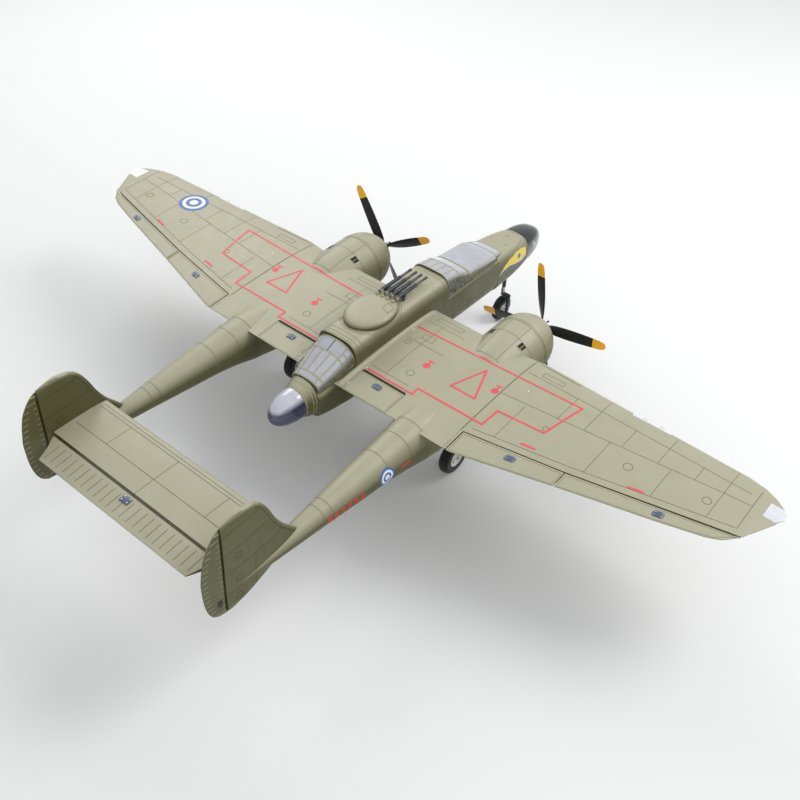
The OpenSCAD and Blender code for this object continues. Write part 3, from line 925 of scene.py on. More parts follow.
@dataclass(frozen=True)
class Rubber(Finish):
    """Foam rubber with open pores."""

    def relief(self, graph: Graph, here: bpy.types.NodeSocket) -> bpy.types.NodeSocket:
        """Pores all over."""
        pores = graph.add("TexVoronoi", {"Vector": here, "Scale": grain(1.1)}).outputs["Distance"]
        return graph.add("Bump", {"Height": pores, "Strength": 0.7,
                                  "Distance": 0.15 * MM}).outputs["Normal"]

    def uniform(self) -> dict[str, object]:
        """A dull skin."""
        return {"Specular IOR Level": 0.25, "Sheen Weight": 0.2}


@dataclass(frozen=True)
class Weave(Finish):
    """Carbon cloth in clear resin."""

    def colour(self, graph: Graph, here: bpy.types.NodeSocket) -> bpy.types.NodeSocket:
        """Light and dark tows in turn."""
        return graph.add("TexChecker", {"Vector": here, "Scale": grain(2.0), "Color1": linear("#1D1E20"),
                                        "Color2": linear("#34363A")}).outputs["Color"]

    def uniform(self) -> dict[str, object]:
        """Resin gloss."""
        return {"Coat Weight": 0.8, "Coat Roughness": 0.1}


@dataclass(frozen=True)
class Clear(Finish):
    """Vacuum-formed clear sheet, a little milky, with a shine that grows at a glance and a painted sky
    reflection on the faces turned up.
    """

    haze: float = 0.3
    # Colour of the painted sky reflection on the upward faces
    crown: str = "#E6E7EC"

    def colour(self, graph: Graph, here: bpy.types.NodeSocket) -> bpy.types.NodeSocket:
        """Paler where the sheet faces up, as a painted sky reflection."""
        return graph.add("Mix", {0: graph.upward(0.42, 0.72), 6: linear(self.color),
                                 7: linear(self.crown)}, data_type="RGBA").outputs[2]

    def surface(self, graph: Graph) -> bpy.types.NodeSocket:
        """Mixes the see-through sheet with its glossy, milky skin."""
        here = graph.add("TexCoord").outputs["Object"]
        skin = graph.add("BsdfPrincipled", {
            "Base Color": self.mottled(graph, here), "Roughness": self.rough(graph, here),
            "Normal": self.relief(graph, here), "Coat Weight": 1.0, "Coat Roughness": 0.04})
        through = graph.add("BsdfTransparent", {"Color": linear("#F2F2F6")})
        glance = graph.add("Fresnel", {"IOR": 1.5}).outputs[0]
        smear = graph.add("TexNoise", {"Vector": here, "Scale": grain(26), "Detail": 4.0,
                                       "Distortion": 0.8}).outputs["Fac"]
        milk = graph.add("MapRange", {"Value": smear, "From Min": 0.3, "From Max": 0.7,
                                      "To Min": self.haze * 0.85, "To Max": self.haze * 1.15})
        # More milky skin on the upward faces is a painted sky reflection; the glance adds shine at
        # grazing angles
        painted_top_reflection_and_glance = graph.add("Math", {0: graph.upward(0.42, 0.72), 1: 0.34, 2: glance},
                          operation="MULTIPLY_ADD")
        share = graph.add("Math", {0: milk.outputs["Result"], 1: painted_top_reflection_and_glance.outputs[0]}, operation="ADD",
                          use_clamp=True).outputs[0]
        return graph.add("MixShader", {0: share, 1: through.outputs[0], 2: skin.outputs[0]}).outputs[0]


@dataclass(frozen=True)
class Palette:
    """Every finish of the aeroplane."""

    # Sprayed olive over foam, deeper on the sides, with a painted highlight that makes the tops pale
    olive: Finish = FoamPaint("sprayed_olive_foam", "#5A5930", 0.5, faded="#AAA68D")
    deck: Finish = FoamPaint("sprayed_olive_foam_deck", "#4F4E29", 0.46, faded="#A7A389")
    # Dark strips on the moulded panel grooves: part thinned wash, part painted shade of the groove
    groove: Finish = Finish("dark_wash_groove", "#66634A", 0.75, mottle=0.12)
    gap: Finish = Finish("open_gap_shadow", "#23231B", 0.9)
    # A deeper painted shade for the shadow in the flap slots and the rudder's hinge gap, also used for
    # the fins' panel lines
    shade: Finish = Finish("deep_olive_wash", "#37361F", 0.8, mottle=0.1)
    # Painted highlight: a pale olive for the light that raised foam edges and ribs catch
    ridge: Finish = Finish("rubbed_olive_edge", "#A19D7C", 0.5)
    red: Finish = Finish("stencilled_red_enamel", "#E8505A", 0.5, mottle=0.1, cloud_mm=18)
    blood: Finish = Finish("stencilled_deep_red_enamel", "#D01F16", 0.5, mottle=0.1, cloud_mm=18)
    blue: Finish = Finish("printed_blue_decal", "#3564AE", 0.42, cloud_mm=20)
    white: Finish = Finish("printed_white_decal", "#E2E1DA", 0.42, mottle=0.04, cloud_mm=20)
    yellow: Finish = Finish("brushed_yellow_enamel", "#D9C44A", 0.42, cloud_mm=15)
    # Polished moulding of the radome
    radome: Finish = Gloss("polished_black_radome", "#08090A", 0.18, mottle=0.1, coat=1.0)
    black: Finish = Gloss("satin_black_nylon", "#17181A", 0.42, coat=0.15)
    cockpit: Finish = Finish("cockpit_dark_green_paint", "#2E3226", 0.7)
    tip: Finish = Gloss("yellow_dipped_blade_tip", "#FFBA1E", 0.38, mottle=0.05, coat=0.3)
    gun: Finish = Gloss("blued_gun_barrel_nylon", "#242A34", 0.34, coat=0.3)
    # The crown colours of the glazing are painted sky reflection on the faces turned up
    milky: Finish = Clear("milky_vacuum_formed_canopy", "#A5A796", 0.1, relief_mm=0.006, haze=0.2,
                          crown="#E2E4EC")
    clear: Finish = Clear("clear_vacuum_formed_glazing", "#D2D3DA", 0.1, relief_mm=0.01, haze=0.5)
    violet: Finish = Clear("violet_tail_glazing", "#3C3F63", 0.1, relief_mm=0.006, haze=0.4,
                           crown="#D6D8E4")
    silver: Finish = Metal("turned_zinc_plated_steel", "#B9BBBE", 0.28, relief_mm=0.02)
    alloy: Finish = Metal("machined_alloy", "#8E9296", 0.38, relief_mm=0.03)
    blackened: Finish = Metal("blackened_steel", "#2A2B2E", 0.36, relief_mm=0.02)
    copper: Finish = Metal("enamelled_copper_winding", "#A65A2A", 0.3)
    bell: Finish = Metal("anodised_motor_can", "#3A3D42", 0.33, relief_mm=0.02)
    horn: Finish = Gloss("blue_grey_glass_filled_nylon", "#4E5C72", 0.4, coat=0.1)
    tyre: Finish = Rubber("foam_rubber_tyre", "#1B1B1C", 0.85)
    hub: Finish = Gloss("white_moulded_hub", "#D6D5CF", 0.4, mottle=0.05, coat=0.2)
    carbon: Finish = Weave("carbon_cloth_tube", "#222326", 0.3)
    wrap: Finish = Gloss("yellow_battery_shrink_wrap", "#C79A22", 0.3)
    servo: Finish = Gloss("servo_case_nylon", "#202226", 0.45, coat=0.1)


PAINTS = Palette()


def put(shape: Shaper, finishes: Sequence[Finish], body: str, slot: str, *nodes: str,
        angle: float = 32.0) -> bpy.types.Object:
    """Finishes a shape and ties it to the frame.

    Args:
        shape: The shape.
        finishes: One finish for each material number.
        body: The CAD body it moves with.
        slot: The material slot its finish stands for; not used.
        nodes: CAD nodes it stands in for.
        angle: Edges sharper than this, in degrees, stay crisp.

    Returns:
        The scene object.
    """
    obj = shape.object(finishes, angle)
    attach(obj, body)
    if nodes:
        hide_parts(*nodes)
    return obj


# ---- Wing ---------------------------------------------------------------------------------


@dataclass(frozen=True)
class Hinge:
    """A straight hinge line on the wing, with the bevels of the surface behind it."""

    start: Point
    end: Point
    height: float
    slot: float
    up: float
    down: float

    def f(self, x: float) -> float:
        """Station of the line at a spanwise place."""
        t = (abs(x) - self.start[0]) / (self.end[0] - self.start[0])
        return self.start[1] + (self.end[1] - self.start[1]) * t

    def wall(self, x: float) -> float:
        """Station of the fixed wall in front of the line."""
        return self.f(x) + self.slot


@dataclass
class Wing:
    """Wing panels, control surfaces, lights and the paint and lines on them."""

    skin: WingSkin = field(default_factory=WingSkin)
    aileron: Hinge = Hinge((478, 0.5), (760, 65), -1.0, 1.3, 33, 33)
    outer_flap: Hinge = Hinge((292, -34), (476, 0), -2.5, 1.3, 12, 44)
    inner_flap: Hinge = Hinge((58, -28), (158, -28), -7.5, 1.5, 12, 44)
    gap: float = 0.8
    end_gap: float = 1.0
    joint: float = 286.2
    light: Point = (492.0, 570.0)
    light_rear: float = 197.0
    lens_x: float = 768.0
    lens_rear: float = 126.0
    lens_front: float = 162.0
    pitch: float = 12.0

    def section(self, x: float, rear: float, front: float, hinge: Hinge | None = None,
                count: int = 40) -> list[Vector]:
        """One closed section of the wing between two stations.

        Args:
            x: Spanwise place.
            rear: Rear station.
            front: Front station.
            hinge: Bevels the front as a V on this hinge line.
            count: Steps along each skin.

        Returns:
            The points, from the rear over the top, round the front and back underneath.
        """
        out: list[Vector] = []
        tops, bottoms = front, front
        if hinge:
            apex = hinge.f(x) - self.gap
            rise = self.skin.height(x, apex, True) - hinge.height
            drop = hinge.height - self.skin.height(x, apex, False)
            tops = apex - rise * math.tan(math.radians(hinge.up))
            bottoms = apex - drop * math.tan(math.radians(hinge.down))
            front = apex
        for upper, nose in ((True, tops), (False, bottoms)):
            stations = eased(nose, rear, count)
            for f in reversed(stations) if upper else stations:
                out.append(DATUM.at(x, f, self.skin.height(x, f, upper)))
            if hinge and upper:
                out.append(DATUM.at(x, front, hinge.height))
        return out

    def span(self, shape: Shaper, x0: float, x1: float, rear: Callable[[float], float],
             front: Callable[[float], float], hinge: Hinge | None = None) -> None:
        """Lofts one stretch of wing between two spanwise places."""
        kinks = [k for k, _ in self.skin.front + self.skin.rear]
        sign = math.copysign(1, x0 + x1)
        inner = sorted({*steps(abs(x0), abs(x1), self.pitch),
                        *(k for k in kinks if min(abs(x0), abs(x1)) < k < max(abs(x0), abs(x1)))})
        if x0 * x1 < 0:
            xs = steps(x0, x1, self.pitch)
        else:
            xs = [sign * x for x in inner]
        shape.sheet([self.section(x, rear(x), front(x), hinge) for x in xs], around=True, closed=True)

    def lead(self, x: float) -> float:
        """Leading edge."""
        return self.skin.edges(x)[0]

    def trail(self, x: float) -> float:
        """Trailing edge."""
        return self.skin.edges(x)[1]

    def center(self) -> None:
        """The centre panel between the wing joints, with the flap rooms open."""
        shape = Shaper("center_panel")
        low, high = (self.inner_flap.start[0] - self.end_gap, self.inner_flap.end[0] + self.end_gap)
        self.span(shape, -low, low, self.trail, self.lead)
        for side in Side:
            s = side.value
            self.span(shape, s * low, s * high, self.inner_flap.wall, self.lead)
            self.span(shape, s * high, s * 286, self.trail, self.lead)
        put(shape, [PAINTS.olive], "airframe", "olive_foam", "center_wing")

    def outer(self, side: Side) -> None:
        """One outer panel with the rooms for its surfaces, landing light and tip lens."""
        s = side.value
        shape = Shaper(f"outer_panel_{side.word}")
        flap, ail = self.outer_flap.wall, self.aileron.wall
        lit, tip = level(self.light_rear), level(self.lens_rear)
        cut = self.aileron.start[0] - self.end_gap
        end = self.aileron.end[0] + self.end_gap
        for x0, x1, rear, front in (
            (286.5, 291, self.trail, self.lead), (291, cut, flap, self.lead),
            (cut, self.light[0], ail, self.lead), (self.light[0], self.light[1], ail, lit),
            (self.light[1], end, ail, self.lead), (end, self.lens_x, self.trail, self.lead),
            (self.lens_x, 792.6, self.trail, tip),
        ):
            self.span(shape, s * x0, s * x1, rear, front)
        self.span(shape, s * self.lens_x, s * 790.8, level(self.lens_front), self.lead)
        put(shape, [PAINTS.olive], "airframe", "olive_foam", f"outer_wing_{side.word}")

    def lights(self) -> None:
        """Clear landing lights and tip lenses, with their lamps behind."""
        glass, lamps = Shaper("wing_light_covers"), Shaper("wing_light_lamps")
        for side in Side:
            s = side.value
            x0, x1 = self.light
            self.span(glass, s * (x0 + 0.2), s * (x1 - 0.2), level(self.light_rear + 0.4), self.lead)
            rear = lambda x: max(self.lens_rear + 0.4, self.trail(x))
            fore = lambda x: min(self.lens_front - 0.4, self.lead(x))
            self.span(glass, s * (self.lens_x + 0.2), s * 799.8, rear, fore)
            for x in (x0 + 22, x1 - 22):
                spot = DATUM.at(s * x, self.light_rear + 4, -4)
                lamps.rod(spot, spot + Vector((0, -5 * MM, 0)), 3.2, 4.2, sides=24)
            lamps.ball(DATUM.at(s * 780, 146, 0.4), 2.6, squash=0.6)
        put(glass, [PAINTS.clear], "airframe", "clear_plastic", "wing_lights")
        put(lamps, [PAINTS.hub], "airframe", "clear_plastic")

    def surface(self, side: Side, word: str, hinge: Hinge, x0: float, x1: float,
                horn: Point, servo_turn: float) -> None:
        """One control surface with its horn."""
        s = side.value
        body = f"{word}_{side.word}"
        shape = Shaper(f"{word}_panel_{side.word}")
        self.span(shape, s * x0, s * x1, self.trail, self.lead, hinge)
        put(shape, [PAINTS.olive], body, "olive_foam", body)
        marks = Shaper(f"{word}_lines_{side.word}")
        rim = [(x, hinge.f(x) - 5) for x in (x0 + 3, x1 - 3)]
        tail = [(x, self.trail(x) + 2) for x in steps(x1 - 3, x0 + 3, 30)]
        marks.ribbon(self.skin, [(s * x, f) for x, f in rim + tail], 0.6, lift=0.16, loop=True)
        put(marks, [PAINTS.groove], body, "olive_foam")
        self.horn(side, body, horn, servo_turn)

    def horn(self, side: Side, body: str, spot: Point, turn: float) -> None:
        """The rounded clamp plate of a control horn, with two screws, over the lever beneath."""
        s = side.value
        word = body.rsplit("_", 1)[0]
        shape = Shaper(f"{word}_horn_plate_{side.word}")
        x, f = spot
        a = math.radians(turn)
        along, aft = Vector((s * math.cos(a), -math.sin(a), 0)), Vector((s * math.sin(a), math.cos(a), 0))
        here = self.skin.lifted(s * x, f - 4, 0.0)
        front, back = self.skin.lifted(s * x, f, 0), self.skin.lifted(s * x, f - 8, 0)
        aft = (back - front).normalized() * 0.99 + aft * 0.01
        aft.normalize()
        up = along.cross(aft).normalized()
        up = up if up.z > 0 else -up
        frame = Matrix((along, aft, up)).transposed().to_4x4()
        frame.translation = here
        made = bmesh.ops.create_cube(shape.bm, size=1.0, matrix=frame @ Matrix.Translation(
            (0, 0, 0.3 * MM)) @ Matrix.Diagonal((18.5 * MM, 12.5 * MM, 1.9 * MM, 1)))["verts"]
        corners = [e for e in {e for v in made for e in v.link_edges}
                   if abs((e.verts[0].co - e.verts[1].co).normalized().dot(up)) > 0.9]
        bmesh.ops.bevel(shape.bm, geom=corners, offset=3.4 * MM, segments=6, profile=0.5,
                        affect="EDGES", material=-1)
        rim = [e for e in shape.bm.edges if e.calc_face_angle(0) > 1.0]
        bmesh.ops.bevel(shape.bm, geom=rim, offset=0.3 * MM, segments=2, profile=0.5,
                        affect="EDGES", material=-1)
        for shift in (-6, 6):
            for deep in (-3.2, 3.2):
                foot = here + (along * shift + aft * deep) * MM + up * 1.1 * MM
                shape.rod(foot, foot + up * 0.7 * MM, 1.5, 1.2, paint=1, sides=24, round_mm=0.2)
                shape.rod(foot + up * 0.6 * MM, foot + up * 0.78 * MM, 0.6, paint=2, sides=6)
        low = DATUM.at(s * x, f, self.skin.height(x, f, False) + 1.0)
        shape.box(low + Vector((-6.4, -4.8, -3.2)) * MM, low + Vector((6.4, 4.8, 0.4)) * MM, 0, 0.5)
        shape.box(low + Vector((-1, -4.6, -14)) * MM, low + Vector((1, 1.8, -2)) * MM, 0, 0.4)
        shape.rod(low + Vector((-1.8, -2.4, -11)) * MM, low + Vector((1.8, -2.4, -11)) * MM, 1.0,
                  paint=1, sides=16)
        put(shape, [PAINTS.horn, PAINTS.silver, PAINTS.gap], body, "horn_plastic",
            f"{word}_horn_{side.word}")

    def lines(self) -> None:
        """Panel lines, hatches, caps, a painted shade along the inner flap slots and raised strips on the
        fixed wing.
        """
        top, low = self.skin, WingSkin(upper=False)
        dark, pale = Shaper("wing_panel_lines"), Shaper("wing_raised_strips")
        for side in Side:
            s = side.value
            for skin in (top, low):
                row = partial(mirrored, s)
                for path, wide in (
                    (row((self.joint, 212), (self.joint, -32)), 1.8),
                    (row((288, 86), (430, 100), (700, 130), (748, 134)), 0.95),
                    (row((292, 166), (480, 164), (736, 158)), 0.95),
                    (row((300, -18), (470, 14), (748, 77)), 0.95),
                    (row((62, 96), (148, 96)), 0.95), (row((62, -8), (150, -8)), 0.95),
                    (row((62, 162), (148, 162)), 0.95), (row((748, 176), (748, 78)), 0.95),
                ):
                    dark.ribbon(skin, path, wide, lift=0.18)
                for x, f0, f1 in ((340, 86, -10), (400, 166, 98), (450, 200, 102), (500, 110, 20),
                                  (520, 164, 112), (585, 196, 120), (610, 120, 46), (650, 162, 124),
                                  (700, 192, 66)):
                    dark.ribbon(skin, row((x, f0), (x, f1)), 0.85, lift=0.18)
                dark.ribbon(skin, row((96, 160), (96, -6)), 0.85, lift=0.18)
                for x, f, wide, deep in ((318, 186, 44, 12), (72, 186, 60, 12), (84, 126, 26, 16)):
                    dark.ribbon(skin, row((x, f), (x + wide, f), (x + wide, f - deep), (x, f - deep)),
                                0.85, lift=0.18, loop=True)
                for x, f, r in ((130, 21, 8), (551, 78, 8.5), (686, 97, 8), (72, 85, 6), (398, 62, 6)):
                    dark.disc(skin, (s * x, f), r, r - 1.0, lift=0.18)
                for x in (self.light[0] - 0.4, self.light[1] + 0.4):
                    dark.ribbon(skin, row((x, self.light_rear), (x, self.lead(x) - 1)), 0.8, lift=0.18)
            # Painted shade: a dark band for the shadow of the inner flap's slot
            band = [(s * x, self.inner_flap.f(x) + 1.4) for x in (60, 157)]
            dark.ribbon(top, band, 3.2, lift=0.22, paint=1)
            self.fairing(pale, s)
            for x, f in ((56, 190), (58, 120), (60, -20), (60, -70)):
                pale.ball(self.skin.point(s * x, f), 1.7, paint=1, squash=0.8)
            lip = [(s * x, self.lead(x) - 5.5) for x in steps(296, 384, 8)]
            pale.ribbon(top, lip, 8.0, lift=0.5)
            pale.ball(self.skin.point(s * 322, 121), 1.9, paint=1, squash=0.5)
        put(dark, [PAINTS.groove, PAINTS.shade], "airframe", "olive_foam")
        put(pale, [PAINTS.olive, PAINTS.white], "airframe", "olive_foam")

    def fairing(self, shape: Shaper, side: float) -> None:
        """The hollow fillet that runs along the pod where the wing meets it."""
        rows = []
        for f in steps(-84, 203, 6):
            foot = self.skin.height(57, f, True)
            rise = 7.0 * min(1.0, (204 - f) / 14, (f + 90) / 30)
            rows.append([DATUM.at(side * (57.5 - 10.5 * math.cos(t)), f,
                                  foot + 0.25 + rise * (1 - math.sin(t)))
                         for t in (math.pi / 2 * k / 8 for k in range(9))])
        shape.sheet(rows)

    def marks(self) -> None:
        """Walkway outline, warning triangles, filler marks, dashes and the round badge."""
        red = Shaper("wing_red_marks")
        top = self.skin
        for side in Side:
            s = side.value
            row = partial(mirrored, s)
            over = Blanket(top, (HullSkin(NACELLE, s * 210),))
            red.ribbon(over, row((56, 133), (420, 147), (401, 52), (309, 44), (307, 0), (166, -2),
                                 (167, -20), (58, -20)), 4.0, lift=0.3, spacing=4)
            red.ribbon(over, row((233, 117), (260, 42), (207, 42)), 3.8, lift=0.3, loop=True, spacing=4)
            for x, f in ((141, 55), (276, 82)):
                red.disc(over, (s * x, f), 7.2, lift=0.25)
                red.ribbon(over, row((x, f + 4), (x, f + 15)), 3.2, lift=0.25)
                red.ribbon(over, row((x - 7, f + 15), (x + 7, f + 15)), 3.2, lift=0.25)
            for x, f, slope in ((397, 9, 0.18), (586, 43, 0.23)):
                red.ribbon(top, row((x - 14, f - 14 * slope), (x + 14, f + 14 * slope)), 4.6, lift=0.25)
        put(red, [PAINTS.red], "airframe", "olive_foam")
        self.badge("wing_badge", top, (589, 141), 33.0)

    def badge(self, name: str, skin: Skin, middle: Point, radius: float) -> None:
        """A plain round badge: a blue disc with a white ring and a white spot.

        Args:
            name: Name of the piece.
            skin: The skin it lies on.
            middle: Its middle in the skin's coordinates.
            radius: Radius of the disc in mm.
        """
        shape = Shaper(name)
        shape.disc(skin, middle, radius, lift=0.32, paint=0)
        shape.disc(skin, middle, radius * 0.78, radius * 0.54, lift=0.42, paint=1)
        shape.disc(skin, middle, radius * 0.3, lift=0.42, paint=1)
        put(shape, [PAINTS.blue, PAINTS.white], "airframe", "olive_foam")

    def build(self) -> None:
        """Builds the whole wing."""
        self.center()
        self.lights()
        for side in Side:
            self.outer(side)
            self.surface(side, "aileron", self.aileron, 478, 760, (639, 26), 13)
            self.surface(side, "outer_flap", self.outer_flap, 293.3, 476, (389, -29), 10.5)
            self.surface(side, "inner_flap", self.inner_flap, 58, 158, (107, -42), 0)
        self.lines()
        self.marks()


# ---- Pod ----------------------------------------------------------------------------------


@dataclass(frozen=True)
class DomeSkin(Skin):
    """Top of the turret cover, read by sideways offset and station."""

    rises: ClassVar[Table] = (
        (0.15, 64), (0.4, 63.9), (0.56, 63.6), (0.69, 63), (0.8, 62), (0.865, 61), (0.92, 59.5),
        (0.955, 58), (0.98, 56), (0.995, 54), (0.999, 51.5), (1.0, 49),
    )

    def point(self, u: float, v: float) -> Vector:
        """The cover at offset u and station v."""
        return DATUM.at(u, v, straight(self.rises, math.hypot(u / 45, (v - 60) / 60)))

    def inside(self, u: float, v: float) -> Vector:
        """The foot of the cover."""
        return DATUM.at(u, v, 40)


@dataclass
class Pod:
    """The crew pod with its hatch, cones, turret and interior."""

    hull: HullSkin = HullSkin((
        (552, 38, -8, -83, 2.7), (535, 41, -4, -84, 2.9), (500, 44, 1, -85, 3.3),
        (455, 46, 6, -84, 3.8), (425, 47, 9, -83, 4.2), (423, 47, 44, -83, 4.2),
        (320, 48, 48, -80, 4.5), (120, 48, 52, -78, 4.5), (-34, 47, 50, -79, 4.5),
        (-36, 47, 8, -79, 5), (-70, 44, 0, -78, 4.5), (-121, 36, -12, -74, 4),
        (-124.5, 34, 6, -73, 2.5), (-137, 31.6, 2.5, -70.5, 2.3), (-150, 29, -2, -66, 2.1),
    ))
    seam: float = -8.0
    sill: float = 4.0
    hatch_rear: float = 243.0
    hatch_front: float = 540.0
    sill_front: float = 452.0
    count: int = 112

    def stations(self, start: float, end: float) -> list[float]:
        """Stations between two ends, close together where the form steps."""
        knots = [f for f, *_ in self.hull.form if min(start, end) < f < max(start, end)]
        return sorted({*steps(start, end, 7), *knots})

    def shell(self) -> None:
        """The fixed shell under the hatch, the spine and the tail, with its two bays."""
        rows = [self.hull.ring(f, self.count) for f in self.stations(-150, self.hatch_rear)]
        rows += [self.hull.ring(f, self.count, high=self.seam)
                 for f in self.stations(self.hatch_rear + 0.01, self.hatch_front)]
        rows += [self.hull.ring(f, self.count) for f in self.stations(self.hatch_front + 0.01, 552)]
        shape = Shaper("pod_skin")
        shape.sheet(rows, around=True, closed=True)
        obj = put(shape, [PAINTS.deck], "airframe", "olive_foam", "pod_shell", angle=35)
        Shaper.carve(obj, DATUM.at(-26, 356, -64), DATUM.at(26, 212, 30))
        Shaper.carve(obj, DATUM.at(-27, 548, -120), DATUM.at(24, 360, -20))

    def hatch(self) -> None:
        """The lift-off nose deck that carries both canopies."""
        shape = Shaper("hatch_deck")
        rear, front = self.hatch_rear + 0.4, self.hatch_front - 0.4
        rows = [self.hull.ring(f, self.count, low=self.seam, high=self.sill)
                for f in self.stations(rear, self.sill_front)]
        rows += [self.hull.ring(f, self.count, low=self.seam)
                 for f in self.stations(self.sill_front + 0.1, front)]
        shape.sheet(rows, around=True, closed=True)
        put(shape, [PAINTS.deck], "hatch", "olive_foam", "battery_hatch", angle=35)

    def cones(self) -> None:
        """Polished black radome and the violet tail glazing."""
        for name, start, length, wide, z, up, down, way, square, finish, slot, node in (
            ("radome", 552.1, 84, 38, -45.5, 37.5, 37.5, 1, 2.7, PAINTS.radome, "black_radome",
             "nose_cone"),
            ("tail_glazing", -150.1, 61, 29, -34, 32, 32, -1, 2.1, PAINTS.violet, "clear_plastic",
             "tail_cone"),
        ):
            rows = []
            for i in range(33):
                a = math.radians(87.5) * i / 32
                k = math.cos(a) ** 0.85
                f = start + way * length * math.sin(a)
                hull = HullSkin(((f, wide * k, z + up * k, z - down * k, 2 + (square - 2) * k),
                                 (f + 1, wide * k, z + up * k, z - down * k, 2 + (square - 2) * k)))
                rows.append(hull.ring(f, 72))
            shape = Shaper(name)
            shape.sheet(rows, around=True, closed=True)
            put(shape, [finish], "airframe", slot, node, angle=60)

    def turret(self) -> None:
        """The low dome on the spine and four guns with cooling jackets."""
        dome = Shaper("turret_cover")
        rows = [[DATUM.at(45 * k * math.cos(t), 60 + 60 * k * math.sin(t), z)
                 for t in (math.tau * j / 80 for j in range(80))] for k, z in reversed(DomeSkin.rises)]
        dome.sheet(rows, around=True, closed=True)
        put(dome, [PAINTS.deck], "airframe", "olive_foam", "turret_dome", angle=50)
        lines = Shaper("turret_lines")
        deck = HullDeck(self.hull)
        for scale in (1.03, 1.1):
            ring = [(46 * scale * math.cos(t), 60 + 61 * scale * math.sin(t))
                    for t in (math.tau * j / 60 for j in range(60))]
            ring = [(max(-45.5, min(45.5, x)), f) for x, f in ring]
            lines.ribbon(deck, ring, 0.7, lift=0.2, loop=True)
        cover = DomeSkin()
        lines.ribbon(cover, [(-34, 88), (-16, 92), (-16, 72), (-34, 68)], 0.9, lift=0.3, loop=True)
        put(lines, [PAINTS.groove], "airframe", "olive_foam")
        guns = Shaper("turret_gun_barrels")
        for x in (-19.5, -6.5, 6.5, 19.5):

            def at(f: float, x: float = x) -> Vector:
                """A point on this barrel's axis."""
                return DATUM.at(x, f, 65)

            guns.rod(at(104), at(170), 3.2, sides=28, round_mm=0.4)
            guns.rod(at(165), at(204), 2.4, sides=24, round_mm=0.3)
            guns.rod(at(197), at(204), 2.8, sides=24, round_mm=0.4)
            guns.rod(at(203.4), at(204.02), 1.5, paint=1, sides=20)
            for f in steps(114, 168, 6):
                guns.rod(at(f - 1.9), at(f + 1.9), 3.8, sides=28, round_mm=0.6)
            guns.rod(DATUM.at(x, 98, 64.4), DATUM.at(x, 115, 64.4), 2.0, 4.4, paint=2, sides=28,
                     round_mm=0.5)
        guns.box(DATUM.at(-24, 134, 51), DATUM.at(-21, 126, 65), round_mm=0.6)
        guns.box(DATUM.at(21, 134, 51), DATUM.at(24, 126, 65), round_mm=0.6)
        guns.box(DATUM.at(-24, 134, 60), DATUM.at(24, 126, 64.6), round_mm=0.8)
        put(guns, [PAINTS.gun, PAINTS.gap, PAINTS.ridge], "airframe", "black_plastic", "turret_guns")

    def lines(self) -> None:
        """Panel lines, frames and caps on the shell and the hatch."""
        fixed, lift = Shaper("pod_panel_lines"), Shaper("hatch_panel_lines")
        ridge = Shaper("pod_raised_rings")
        for side in Side:
            flank = HullFlank(self.hull, side)
            for f in (428, 372, 322, 268):
                fixed.ribbon(flank, [(f, -70), (f, -10)], 0.95, lift=0.2)
            for f in (206, 96, -8):
                fixed.ribbon(flank, [(f, -68), (f, -22)], 0.9, lift=0.2)
                fixed.ribbon(flank, [(f, 12), (f, 42)], 0.9, lift=0.2)
            fixed.ribbon(flank, [(540, -8.2), (300, -8.2), (244, -8.2)], 1.0, lift=0.2)
            fixed.ribbon(flank, [(430, -50), (300, -48), (0, -50), (-100, -48)], 0.9, lift=0.2)
            fixed.ribbon(flank, [(410, -18), (388, -18), (388, -40), (410, -40)], 0.85, lift=0.22,
                         loop=True)
        for f in (240, 232, -14, -24, -31):
            arc = [(f, a) for a in steps(6, 174, 4)]
            fixed.ribbon(self.hull, arc, 1.0, lift=0.2)
        # The raised rings and caps are laid in the pale olive of a painted highlight
        for f in (-127, -133, -147):
            ridge.ribbon(self.hull, [(f, a) for a in steps(0, 356, 4)], 1.6, lift=0.4, loop=True)
        fixed.ribbon(self.hull, [(546, a) for a in steps(0, 356, 4)], 0.9, lift=0.2, loop=True)
        for x, f in ((-20, 484), (20, 484), (0, 520)):
            lift.disc(HullDeck(self.hull), (x, f), 2.6, 1.9, lift=0.2)
        for x, f in ((-30, -22), (30, -22), (-38, 206), (38, 206)):
            ridge.disc(HullDeck(self.hull), (x, f), 3.2, lift=0.4)
        put(fixed, [PAINTS.groove], "airframe", "olive_foam")
        put(lift, [PAINTS.groove], "hatch", "olive_foam")
        put(ridge, [PAINTS.ridge], "airframe", "olive_foam")

